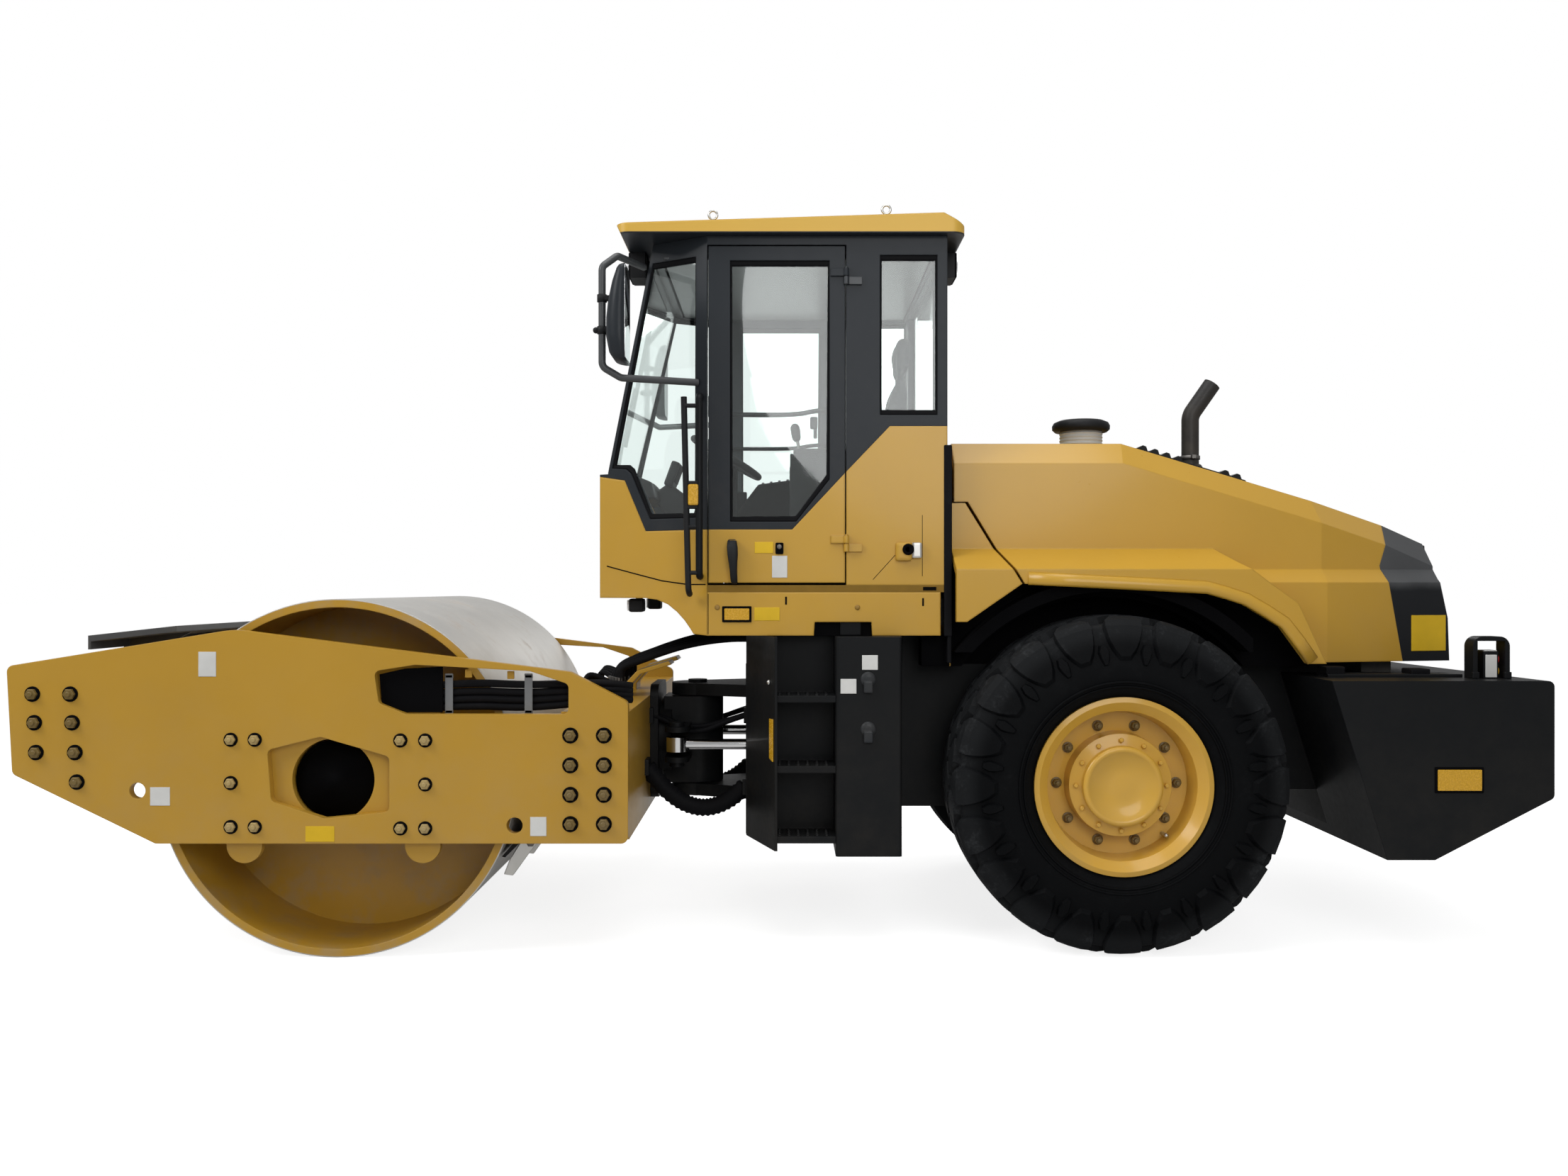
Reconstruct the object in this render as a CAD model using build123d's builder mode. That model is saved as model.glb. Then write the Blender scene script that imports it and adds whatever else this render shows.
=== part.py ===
"""Single-drum articulated soil roller with a closed cab.

+X points forward, +Y to the machine's left, +Z up. The origin lies on the ground under the middle of the machine.
All sizes are in millimetres.
"""

import os

from build123d import *

# Drum and its frame
drum_x = 1920
drum_radius = 770
drum_shell = 36
drum_head_recess = 430
drum_head_thickness = 32
drum_core_radius = 150
frame_half_width = 1150
plate_thickness = 40
drum_side_gap = 45
drum_width = 2 * (frame_half_width - plate_thickness - drum_side_gap)
front_overhang = 600
frame_front_x = drum_x + drum_radius + front_overhang
frame_rear_x = 660
plate_bottom_z = 505
plate_front_z = 1256
plate_peak_z = 1412
plate_rear_z = 1104
beam_wall = 20
front_beam_depth = 300
rear_beam_depth = 290
tie_down_radius = 34

# Centre joint and steering
pivot_x = 440
pivot_z = 830
pivot_pin_radius = 48
pivot_boss_radius = 130
ear_thickness = 60
ear_gap = 440
steer_arm_y = 330
steer_arm_forward = 80
cylinder_rear_x = -330
barrel_radius = 52
barrel_length = 500
rod_radius = 26

# Rear wheels
wheel_x = -1455
tyre_radius = 735
tyre_width = 540
wheel_track_half = 860
rim_radius = 385
hub_radius = 228
axle_radius = 140

# Rear frame
rail_outer_y = 514
rail_thickness = 40
rail_top_z = 1230
rail_front_x = 180
rail_rear_x = -2560

# Boarding steps and side tanks
step_outer_y = 900
step_front_x = 41
tank_front_x = -229
tank_rear_x = -522
tank_bottom_z = 399
tank_top_z = 1371
step_rise = 312
step_first_z = 456

# Counterweight
tail_x = -frame_front_x
tail_half_width = 1100
tail_top_z = 1190
tail_bottom_z = 425

# Cab
cab_half_width = 800
cab_nose_half_width = 480
cab_nose_x = 872
cab_corner_x = 345
cab_rear_x = -735
cab_wall = 60
cab_floor_top_z = 1600
cab_sill_bottom_z = 1373
cab_sill_top_z = 1568
cab_bottom_z = 1605
cab_top_z = 3172
roof_rise = 90
roof_top_z = cab_top_z + roof_rise
roof_overhang = 50
glass_thickness = 8
door_rear_x = -280
door_head = 42
door_top_z = cab_top_z - door_head
door_gap = 6
waist_z = 1850
quarter_z = 2315
screen_foot_x = 830
screen_foot_z = 2130
screen_head_x = 603

# Hood
hood_front_x = -775
hood_half_width = 720
hood_flare_half_width = 905
hood_rise = 1010
hood_wall = 36
hood_bottom_z = 1245
hood_top_z = hood_bottom_z + hood_rise
hood_tail_x = tail_x + 225
hood_split_x = -2800
hood_crest_x = -1560
hood_seam = 6

running_gap = 0.3
small_gap = 6

os.makedirs("parts", exist_ok=True)


def save(piece, name):
    """Label one piece and write it as a STEP file under its node's name."""
    piece.label = name
    export_step(piece, f"parts/{name}.step")


def side_plane(y):
    """Upright plane at a given Y, seen from the right side: local x is X and local y is Z."""
    return Plane.XZ.offset(-y)


def wall_plane(x):
    """Upright plane across the machine at a given X: local x is Y and local y is Z."""
    return Plane.YZ.offset(x)


# Drum frame: two cut side plates joined by box beams
plate_outline = [
    (frame_front_x, plate_front_z),
    (frame_front_x - 24, 800),
    (2660, plate_bottom_z),
    (frame_rear_x, plate_bottom_z),
    (frame_rear_x, plate_rear_z),
    (905, 1232),
    (2330, plate_peak_z),
]
plate_corners = [30, 30, 30, 30, 30, 30, 300]
hub_window = [(2187, 901), (1962, 957), (1671, 873), (1671, 639), (1947, 612), (2170, 684)]
hose_window = [(1735, 1235), (1560, 1262), (1075, 1235), (912, 1180), (912, 1053), (1600, 1053), (1715, 1100)]
tie_downs = [(2736, 729), (1140, 582)]
window_corner = 25

with BuildPart() as side_plates:
    with BuildSketch(side_plane(frame_half_width)) as outline:
        with BuildLine():
            FilletPolyline(*plate_outline, radius=plate_corners, close=True)
        make_face()
    extrude(amount=plate_thickness)
    with BuildSketch(side_plane(frame_half_width)) as windows:
        Polygon(*hub_window)
        Polygon(*hose_window)
        fillet(windows.vertices(), window_corner)
        with Locations(*tie_downs):
            Circle(tie_down_radius)
    extrude(amount=plate_thickness, mode=Mode.SUBTRACT)
    mirror(about=Plane.XZ)
save(side_plates.part, "side_plates")

beam_half_length = frame_half_width - plate_thickness
front_beam_outline = [
    (frame_front_x - 40, plate_front_z - 41),
    (frame_front_x - 58, plate_front_z - 406),
    (frame_front_x - 58 - front_beam_depth * 0.8, plate_front_z - 556),
    (frame_front_x - 40 - front_beam_depth, plate_front_z - 476),
    (frame_front_x - 40 - front_beam_depth, plate_front_z - 16),
]
with BuildPart() as front_beam:
    with BuildSketch(side_plane(0)) as beam_section:
        Polygon(*front_beam_outline)
        fillet(beam_section.vertices(), 30)
        offset(amount=-beam_wall, mode=Mode.SUBTRACT)
    extrude(amount=beam_half_length, both=True)
save(front_beam.part, "front_beam")

rear_beam_front_x = frame_rear_x + rear_beam_depth
rear_beam_bottom_z = plate_bottom_z + 10
rear_beam_top_z = 1060
with BuildPart() as rear_beam:
    with BuildSketch(side_plane(0)) as beam_section:
        Polygon(
            (frame_rear_x, rear_beam_bottom_z),
            (rear_beam_front_x, rear_beam_bottom_z + 90),
            (rear_beam_front_x, rear_beam_top_z),
            (frame_rear_x, rear_beam_top_z),
        )
        offset(amount=-beam_wall, mode=Mode.SUBTRACT)
    extrude(amount=beam_half_length, both=True)
save(rear_beam.part, "rear_beam")


def beam_top_z(x):
    """Height of the front beam's sloping top face at a given X."""
    front, rear = front_beam_outline[0], front_beam_outline[-1]
    return front[1] + (front[0] - x) * (rear[1] - front[1]) / (front[0] - rear[0])


# Cover plate that stands on ribs above the front beam
cover_half_width = 1045
cover_thickness = 26
cover_front = (frame_front_x - 290, plate_front_z + 126)
cover_rear = (frame_front_x - 670, plate_front_z + 168)
rib_thickness = 16
rib_spacing = 700
rib_foot_x = frame_front_x - 230
rib_heel_x = frame_front_x - 295
with BuildPart() as front_cover:
    with BuildSketch(side_plane(0)):
        Polygon(
            cover_front,
            cover_rear,
            (cover_rear[0], cover_rear[1] - cover_thickness),
            (cover_front[0] - 12, cover_front[1] - cover_thickness),
            (cover_front[0] - 12, cover_front[1] - 60),
            (cover_front[0], cover_front[1] - 60),
        )
    extrude(amount=cover_half_width, both=True)
    for rib_y in (-rib_spacing, 0, rib_spacing):
        with BuildSketch(side_plane(rib_y)):
            Polygon(
                (rib_foot_x, beam_top_z(rib_foot_x)),
                (rib_heel_x, beam_top_z(rib_heel_x)),
                (cover_rear[0] + 70, cover_rear[1] - 28),
                (cover_rear[0] + 70, cover_rear[1] - 14),
                (cover_front[0] - 40, cover_front[1] - 8),
                (cover_front[0] - 12, cover_front[1] - 14),
            )
        extrude(amount=rib_thickness / 2, both=True)
save(front_cover.part, "front_cover")

# Scraper bars: a blade on a tube, in front of and behind the drum
scraper_side_gap = 110
scraper_half_width = beam_half_length - scraper_side_gap
scraper_gap = 8
scraper_height_z = 420
scraper_blade = 14
scraper_seat_low_z = 640
scraper_seat_high_z = 690
scraper_seat_length = 40
with BuildPart() as rear_scraper:
    drop = drum_radius - scraper_height_z
    touch_x = drum_x - (drum_radius**2 - drop**2) ** 0.5 - scraper_gap
    with BuildSketch(side_plane(0)):
        Polygon(
            (touch_x, scraper_height_z),
            (touch_x - scraper_blade, scraper_height_z - 4),
            (rear_beam_front_x + scraper_seat_length, scraper_seat_low_z),
            (rear_beam_front_x, scraper_seat_low_z),
            (rear_beam_front_x, scraper_seat_high_z),
            (rear_beam_front_x + scraper_seat_length + 4, scraper_seat_high_z),
        )
    extrude(amount=scraper_half_width, both=True)
save(rear_scraper.part, "rear_scraper")

# Drum carriers: a bolted plate inside each side plate, rubber buffers and a journal into the drum head
carrier_half_length = 440
carrier_top_z = 990
carrier_bottom_z = 525
carrier_thickness = 30
carrier_hub_radius = 245
journal_radius = 90
journal_length = 20
buffer_radius = 62
buffer_spacing_x = 760
buffer_spacing_z = 560
drum_head_y = drum_width / 2 - drum_head_recess
carrier_face_y = frame_half_width - plate_thickness
carrier_hub_end_y = drum_head_y + 120
with BuildPart() as drum_carriers:
    with BuildSketch(side_plane(carrier_face_y)) as carrier_outline:
        with Locations((drum_x, (carrier_top_z + carrier_bottom_z) / 2)):
            Rectangle(2 * carrier_half_length, carrier_top_z - carrier_bottom_z)
        fillet(carrier_outline.vertices(), 40)
        with Locations((drum_x, drum_radius)):
            with GridLocations(buffer_spacing_x, buffer_spacing_z, 2, 2):
                Circle(buffer_radius + 14)
    extrude(amount=carrier_thickness)
    with BuildSketch(side_plane(carrier_face_y - carrier_thickness)):
        with Locations((drum_x, drum_radius)):
            Circle(carrier_hub_radius)
            with GridLocations(buffer_spacing_x * 0.62, buffer_spacing_z * 0.62, 2, 2):
                Circle(buffer_radius)
    extrude(amount=carrier_face_y - carrier_thickness - carrier_hub_end_y)
    with BuildSketch(side_plane(carrier_face_y)):
        with Locations((drum_x, drum_radius)):
            Circle(carrier_hub_radius - 70)
    extrude(amount=200, mode=Mode.SUBTRACT)
    with BuildSketch(side_plane(carrier_hub_end_y)):
        with Locations((drum_x, drum_radius)):
            Circle(journal_radius)
    extrude(amount=carrier_hub_end_y - drum_head_y + journal_length)
    mirror(about=Plane.XZ)
save(drum_carriers.part, "drum_carriers")

# Drum: rolled shell with two recessed heads and the exciter tube between them
with BuildPart() as drum:
    with BuildSketch(Plane.XY) as drum_profile:
        with Locations((drum_radius - drum_shell / 2, 0)):
            Rectangle(drum_shell, drum_width)
        for side in (1, -1):
            with Locations((drum_radius / 2, side * (drum_head_y - drum_head_thickness / 2))):
                Rectangle(drum_radius, drum_head_thickness)
        with Locations((drum_core_radius / 2, 0)):
            Rectangle(drum_core_radius, 2 * drum_head_y)
        for side in (1, -1):
            with Locations((0, side * drum_head_y)):
                Rectangle(2 * (journal_radius + running_gap), 2 * (journal_length + 2), mode=Mode.SUBTRACT)
    revolve(axis=Axis.Y)
drum_part = Pos(drum_x, 0, drum_radius) * drum.part
save(drum_part, "drum")


# Centre yoke: bolted to the rear beam, hinged on two upright pins between the rear frame's ears
yoke_half_width = 230
ear_low_z = pivot_z - ear_gap / 2
ear_high_z = pivot_z + ear_gap / 2
ear_clearance = 5
arm_plate = 26
arm_gap = 120
arm_half_width = 58
with BuildPart() as centre_yoke:
    with BuildSketch(wall_plane(frame_rear_x)) as yoke_flange:
        with Locations((0, pivot_z)):
            Rectangle(2 * yoke_half_width, ear_gap + 120)
        fillet(yoke_flange.vertices(), 60)
    extrude(amount=-40)
    with BuildSketch(wall_plane(frame_rear_x - 40)):
        with Locations((0, pivot_z)):
            Circle(200)
    extrude(amount=-60)
    with BuildSketch(Plane.XY.offset(ear_low_z + ear_clearance)) as yoke_body:
        with Locations((pivot_x, 0)):
            Circle(pivot_boss_radius)
        with Locations(((pivot_x + frame_rear_x - 60) / 2, 0)):
            Rectangle(frame_rear_x - 60 - pivot_x, 2 * pivot_boss_radius)
    extrude(amount=ear_gap - 2 * ear_clearance)
    with BuildSketch(Plane.XY.offset(ear_low_z - ear_thickness - 14)):
        with Locations((pivot_x, 0)):
            Circle(pivot_pin_radius)
    extrude(amount=ear_gap + 2 * ear_thickness + 28)
    for arm_z in (pivot_z + arm_gap / 2, pivot_z - arm_gap / 2 - arm_plate):
        with BuildSketch(Plane.XY.offset(arm_z)) as steer_arm:
            with Locations((pivot_x + steer_arm_forward, 0)):
                SlotCenterToCenter(2 * steer_arm_y, 2 * arm_half_width, rotation=90)
        extrude(amount=arm_plate)
    for pin_side in (1, -1):
        for cap_z in (pivot_z + arm_gap / 2 + arm_plate, pivot_z - arm_gap / 2 - arm_plate - 22):
            with BuildSketch(Plane.XY.offset(cap_z)):
                with Locations((pivot_x + steer_arm_forward, pin_side * steer_arm_y)):
                    Circle(36)
            extrude(amount=22)
save(centre_yoke.part, "centre_yoke")

# Steering cylinders: barrel pinned in the rear frame, rod eye between the yoke's arms
barrel_eye_radius = 62
eye_thickness = 70
eye_pin_radius = 24
barrel_start = 38
rod_overlap = 210
rod_eye_x = pivot_x + steer_arm_forward
barrel_end_x = cylinder_rear_x + barrel_length
for side, hand in ((1, "left"), (-1, "right")):
    anchor_y = side * steer_arm_y
    with BuildPart() as steer_barrel:
        with BuildSketch(Plane.XY.offset(pivot_z - eye_thickness / 2)):
            with Locations((cylinder_rear_x, anchor_y)):
                Circle(barrel_eye_radius)
        extrude(amount=eye_thickness)
        with BuildSketch(wall_plane(cylinder_rear_x + barrel_start)):
            with Locations((anchor_y, pivot_z)):
                Circle(barrel_radius)
        extrude(amount=barrel_length - barrel_start)
        with BuildSketch(Plane.XY.offset(pivot_z - eye_thickness / 2)):
            with Locations((cylinder_rear_x, anchor_y)):
                Circle(eye_pin_radius)
        extrude(amount=eye_thickness, mode=Mode.SUBTRACT)
        with BuildSketch(wall_plane(barrel_end_x)):
            with Locations((anchor_y, pivot_z)):
                Circle(rod_radius + running_gap)
        extrude(amount=-(barrel_length - 90), mode=Mode.SUBTRACT)
    save(steer_barrel.part, f"steer_barrel_{hand}")
    with BuildPart() as steer_rod:
        with BuildSketch(Plane.XY.offset(pivot_z - eye_thickness / 2)):
            with Locations((rod_eye_x, anchor_y)):
                Circle(barrel_eye_radius - 10)
        extrude(amount=eye_thickness)
        with BuildSketch(wall_plane(rod_eye_x - 30)):
            with Locations((anchor_y, pivot_z)):
                Circle(rod_radius)
        extrude(amount=-(rod_eye_x - 30 - barrel_end_x + rod_overlap))
    save(steer_rod.part, f"steer_rod_{hand}")

# Rear frame: two rails, a front plate with hinge ears, cross members, cab posts and cylinder brackets
rail_inner_y = rail_outer_y - rail_thickness
rail_low_z = 560
axle_seat_z = 905
wheel_z = tyre_radius
rail_outline = [
    (rail_front_x, rail_top_z),
    (rail_rear_x, rail_top_z),
    (rail_rear_x, 640),
    (wheel_x - 560, 640),
    (wheel_x - 330, axle_seat_z),
    (wheel_x + 330, axle_seat_z),
    (wheel_x + 560, rail_low_z),
    (rail_front_x, rail_low_z),
]
post_size = 130
cab_floor_bottom_z = 1420
bracket_gap = 4
with BuildPart() as rear_frame:
    with BuildSketch(side_plane(rail_outer_y)):
        Polygon(*rail_outline)
    extrude(amount=rail_thickness)
    mirror(about=Plane.XZ)
    # front plate, open where the steering cylinders pass
    with BuildSketch(wall_plane(rail_front_x)):
        with Locations((0, (430 + rail_top_z) / 2)):
            Rectangle(2 * rail_outer_y, rail_top_z - 430)
        for side in (1, -1):
            with Locations((side * steer_arm_y, pivot_z)):
                Rectangle(190, 210, mode=Mode.SUBTRACT)
    extrude(amount=-40)
    # hinge ears
    for ear_z in (ear_low_z - ear_thickness, ear_high_z):
        with BuildSketch(Plane.XY.offset(ear_z)) as ear:
            with Locations((pivot_x, 0)):
                Circle(pivot_boss_radius)
            Polygon(
                (pivot_x, pivot_boss_radius),
                (rail_front_x, 240),
                (rail_front_x, -240),
                (pivot_x, -pivot_boss_radius),
            )
            with Locations((pivot_x, 0)):
                Circle(pivot_pin_radius + running_gap, mode=Mode.SUBTRACT)
        extrude(amount=ear_thickness)
    # cross members between the rails
    for cross_x in (cylinder_rear_x - 140, -900, -2000, rail_rear_x + 30):
        with Locations((cross_x, 0, 1080)):
            Box(60, 2 * rail_inner_y, 260)
    # clevis plates for the steering cylinders
    clevis_front_x = cylinder_rear_x + barrel_start - 8
    clevis_rear_x = cylinder_rear_x - 170
    for side in (1, -1):
        for plate_z in (pivot_z + eye_thickness / 2 + bracket_gap, pivot_z - eye_thickness / 2 - bracket_gap - 30):
            with Locations(((clevis_front_x + clevis_rear_x) / 2, side * (rail_inner_y + 270) / 2, plate_z + 15)):
                Box(clevis_front_x - clevis_rear_x, rail_inner_y - 270, 30)
        with BuildSketch(Plane.XY.offset(pivot_z - eye_thickness / 2 - bracket_gap - 30)):
            with Locations((cylinder_rear_x, side * steer_arm_y)):
                Circle(eye_pin_radius - running_gap)
        extrude(amount=eye_thickness + 2 * bracket_gap + 60)
    # posts that carry the cab
    for post_x in (100, -620):
        for side in (1, -1):
            with Locations((post_x, side * (rail_outer_y - post_size / 2), (rail_top_z + cab_floor_bottom_z) / 2)):
                Box(post_size, post_size, cab_floor_bottom_z - rail_top_z)
save(rear_frame.part, "rear_frame")

# Rear axle: tube, differential and seats under the rails
axle_half_length = 640
with BuildPart() as rear_axle:
    with BuildSketch(side_plane(0)):
        with Locations((wheel_x, wheel_z)):
            Circle(axle_radius)
    extrude(amount=axle_half_length, both=True)
    with Locations((wheel_x, 0, wheel_z)):
        Sphere(270)
    for side in (1, -1):
        with Locations((wheel_x, side * (rail_outer_y - 75), (wheel_z + axle_seat_z) / 2)):
            Box(300, 150, axle_seat_z - wheel_z)
    with BuildSketch(side_plane(0)):
        with Locations((wheel_x, wheel_z)):
            Circle(70)
    extrude(amount=axle_half_length + 90, both=True)
save(rear_axle.part, "rear_axle")

# Wheels: tyre, and rim with its planetary hub
bead_half = 215
rim_disc_y = 85
spindle_radius = 70
for side, hand in ((1, "left"), (-1, "right")):
    with BuildPart() as tyre:
        with BuildSketch(Plane.XY):
            with BuildLine():
                half = tyre_width / 2
                Polyline((rim_radius, -bead_half), (rim_radius, bead_half))
                ThreePointArc((rim_radius, bead_half), (rim_radius + 170, half), (tyre_radius - 60, half - 42))
                ThreePointArc(
                    (tyre_radius - 60, half - 42), (tyre_radius - 20, half - 56), (tyre_radius - 4, half - 96)
                )
                ThreePointArc((tyre_radius - 4, half - 96), (tyre_radius, 0), (tyre_radius - 4, 96 - half))
                ThreePointArc(
                    (tyre_radius - 4, 96 - half), (tyre_radius - 20, 56 - half), (tyre_radius - 60, 42 - half)
                )
                ThreePointArc((tyre_radius - 60, 42 - half), (rim_radius + 170, -half), (rim_radius, -bead_half))
            make_face()
        revolve(axis=Axis.Y)
    save(Pos(wheel_x, side * wheel_track_half, wheel_z) * tyre.part, f"tyre_{hand}")
    with BuildPart() as wheel:
        with BuildSketch(Plane.XY):
            with BuildLine():
                Polyline(
                    (spindle_radius + running_gap, -150),
                    (250, -150),
                    (250, rim_disc_y - 40),
                    (rim_radius - 40, rim_disc_y - 60),
                    (rim_radius - 40, -bead_half),
                    (rim_radius, -bead_half),
                    (rim_radius, bead_half + 16),
                    (rim_radius - 22, bead_half + 22),
                    (rim_radius - 62, bead_half - 14),
                    (310, rim_disc_y + 6),
                    (hub_radius, rim_disc_y),
                    (hub_radius - 6, rim_disc_y + 80),
                    (hub_radius - 56, rim_disc_y + 96),
                    (165, rim_disc_y + 124),
                    (0, rim_disc_y + 128),
                    (0, -120),
                    (spindle_radius + running_gap, -120),
                    close=True,
                )
            make_face()
        revolve(axis=Axis.Y)
    turned = wheel.part if side > 0 else Rot(0, 0, 180) * wheel.part
    save(Pos(wheel_x, side * wheel_track_half, wheel_z) * turned, f"wheel_{hand}")

# Boarding steps: a raked front plate, treads and a back plate, on both sides
step_plate = 12
tread_thickness = 30
tread_depth = 210
tread_count = 3
step_bottom_z = 423
rake_run = 137
with BuildPart() as steps:
    with BuildSketch(Plane.XY.offset(step_bottom_z)):
        Polygon(
            (step_front_x, step_outer_y),
            (step_front_x + rake_run, rail_outer_y),
            (step_front_x + rake_run - step_plate, rail_outer_y),
            (step_front_x - step_plate, step_outer_y),
        )
    extrude(amount=tank_top_z - step_bottom_z)
    with BuildSketch(Plane.XY.offset(step_bottom_z)):
        Polygon(
            (step_front_x, step_outer_y - tread_depth),
            (tank_front_x, step_outer_y - tread_depth),
            (tank_front_x, step_outer_y - tread_depth - step_plate),
            (step_front_x, step_outer_y - tread_depth - step_plate),
        )
    extrude(amount=tank_top_z - step_bottom_z)
    for tread in range(tread_count):
        with BuildSketch(Plane.XY.offset(step_first_z + tread * step_rise)):
            Polygon(
                (step_front_x - step_plate / 2, step_outer_y - 8),
                (tank_front_x, step_outer_y - 8),
                (tank_front_x, step_outer_y - tread_depth - step_plate / 2),
                (step_front_x + 50, step_outer_y - tread_depth - step_plate / 2),
            )
        extrude(amount=tread_thickness)
    mirror(about=Plane.XZ)
save(steps.part, "steps")

with BuildPart() as side_tanks:
    with BuildSketch(Plane.XY.offset(tank_bottom_z)) as tank_plan:
        with Locations(((tank_front_x + tank_rear_x) / 2, (step_outer_y + rail_outer_y) / 2)):
            Rectangle(tank_front_x - tank_rear_x, step_outer_y - rail_outer_y)
        fillet(tank_plan.vertices().group_by(Axis.Y)[-1], 14)
    extrude(amount=tank_top_z - tank_bottom_z)
    mirror(about=Plane.XZ)
save(side_tanks.part, "side_tanks")

# Counterweight across the rear
tail_outline = [
    (tail_x + 950, tail_top_z),
    (tail_x, tail_top_z),
    (tail_x, 690),
    (tail_x + 510, tail_bottom_z),
    (tail_x + 714, tail_bottom_z),
]
with BuildPart() as counterweight:
    with BuildSketch(side_plane(0)) as tail_section:
        Polygon(*tail_outline)
        fillet(tail_section.vertices().group_by(Axis.X)[0], 26)
    extrude(amount=tail_half_width, both=True)
    with BuildSketch(Plane.XY.offset(tail_bottom_z - 10)):
        with Locations(((rail_rear_x + tail_x + 950) / 2 + 40, 0)):
            Rectangle(tail_x + 950 - rail_rear_x + 80, 2 * rail_outer_y + 2 * running_gap)
    extrude(amount=tail_top_z, mode=Mode.SUBTRACT)
save(counterweight.part, "counterweight")


# Cab: walls on a plan that narrows to the nose, with a raked windscreen
cab_plan = [
    (cab_nose_x, cab_nose_half_width),
    (cab_corner_x, cab_half_width),
    (cab_rear_x, cab_half_width),
    (cab_rear_x, -cab_half_width),
    (cab_corner_x, -cab_half_width),
    (cab_nose_x, -cab_nose_half_width),
]
cab_ceiling_z = cab_top_z - 62
glazing_top_z = cab_top_z - 87
nose_bottom_z = 1540
floor_plate = cab_floor_top_z - cab_sill_top_z
screen_rake = (screen_foot_x - screen_head_x) / (cab_top_z - screen_foot_z)
cheek_length = ((cab_nose_x - cab_corner_x) ** 2 + (cab_half_width - cab_nose_half_width) ** 2) ** 0.5
left_cheek = Plane(
    origin=(cab_corner_x, cab_half_width, 0),
    x_dir=(cab_nose_x - cab_corner_x, cab_nose_half_width - cab_half_width, 0),
    z_dir=(cab_half_width - cab_nose_half_width, cab_nose_x - cab_corner_x, 0),
)
right_cheek = Plane(
    origin=(cab_corner_x, -cab_half_width, 0),
    x_dir=(cab_nose_x - cab_corner_x, cab_half_width - cab_nose_half_width, 0),
    z_dir=(cab_half_width - cab_nose_half_width, cab_corner_x - cab_nose_x, 0),
)
screen_plane = Plane(
    origin=(screen_foot_x, 0, screen_foot_z),
    x_dir=(0, 1, 0),
    z_dir=(1, 0, screen_rake),
)
nose_zone = [
    (cab_nose_x + 60, screen_foot_z - 6),
    (745, 2090),
    (640, waist_z),
    (cab_corner_x, waist_z),
    (cab_corner_x, cab_sill_bottom_z),
    (410, cab_sill_bottom_z + 6),
    (425, cab_sill_bottom_z + 30),
    (452, nose_bottom_z - 100),
    (488, nose_bottom_z - 62),
    (532, nose_bottom_z - 28),
    (584, nose_bottom_z - 7),
    (640, nose_bottom_z),
    (cab_nose_x + 60, nose_bottom_z),
]
quarter_zone = [
    (door_rear_x, cab_floor_top_z),
    (door_rear_x, 2110),
    (-476, quarter_z),
    (cab_rear_x - 20, quarter_z),
    (cab_rear_x - 20, cab_floor_top_z),
]
screen_cut = [
    (screen_foot_x, screen_foot_z - 6),
    (cab_nose_x + 100, screen_foot_z - 6),
    (cab_nose_x + 100, cab_top_z + 40),
    (screen_head_x - 40 * screen_rake, cab_top_z + 40),
    (screen_foot_x, screen_foot_z),
]
pillar_width = 62
corner_post = 18
nose_length = cab_nose_x - cab_corner_x
cheek_foot = (screen_foot_x - cab_corner_x) * cheek_length / nose_length - corner_post
cheek_rake = screen_rake * cheek_length / nose_length
cheek_window = [
    (pillar_width, waist_z + 55),
    (322, waist_z + 55),
    (432, screen_foot_z - 10),
    (462, screen_foot_z + 12),
    (cheek_foot - 20 * cheek_rake, screen_foot_z + 20),
    (cheek_foot - (glazing_top_z - screen_foot_z) * cheek_rake, glazing_top_z),
    (pillar_width, glazing_top_z),
]
left_cheek_window = [(along, -height) for along, height in cheek_window]
screen_length = ((cab_top_z - screen_foot_z) ** 2 + (screen_foot_x - screen_head_x) ** 2) ** 0.5
nose_taper = (cab_half_width - cab_nose_half_width) / nose_length
screen_head_half = cab_half_width - (screen_head_x - cab_corner_x) * nose_taper
screen_foot_half = cab_half_width - (screen_foot_x - cab_corner_x) * nose_taper
screen_foot_frame = 46
screen_head_frame = 74
screen_window = [
    (screen_foot_half - corner_post, screen_foot_frame),
    (screen_head_half - corner_post, screen_length - screen_head_frame),
    (corner_post - screen_head_half, screen_length - screen_head_frame),
    (corner_post - screen_foot_half, screen_foot_frame),
]
quarter_window = [(-432, quarter_z + 50), (-432, glazing_top_z), (-690, glazing_top_z), (-690, quarter_z + 50)]
rear_window_half = 600
rear_window_low_z = quarter_z + 65
rear_window_high_z = glazing_top_z - 10
glass_inset = 14
door_front_x = cab_corner_x

with BuildPart() as cab_ring:
    with BuildSketch(Plane.XY.offset(cab_sill_bottom_z)) as ring_plan:
        Polygon(*cab_plan)
        offset(amount=-cab_wall, kind=Kind.INTERSECTION, mode=Mode.SUBTRACT)
    extrude(amount=cab_top_z - cab_sill_bottom_z)
    with BuildSketch(side_plane(0)):
        Polygon(*screen_cut)
    extrude(amount=cab_half_width + 100, both=True, mode=Mode.SUBTRACT)

with BuildPart() as cab_front_panel:
    add(cab_ring.part)
    with BuildSketch(side_plane(0)):
        Polygon(*nose_zone)
    extrude(amount=cab_half_width + 100, both=True, mode=Mode.INTERSECT)
save(cab_front_panel.part, "cab_front_panel")

with BuildPart() as cab_rear_panels:
    add(cab_ring.part)
    with BuildSketch(side_plane(0)):
        Polygon(*quarter_zone)
    extrude(amount=cab_half_width + 100, both=True, mode=Mode.INTERSECT)
save(cab_rear_panels.part, "cab_rear_panels")

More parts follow.
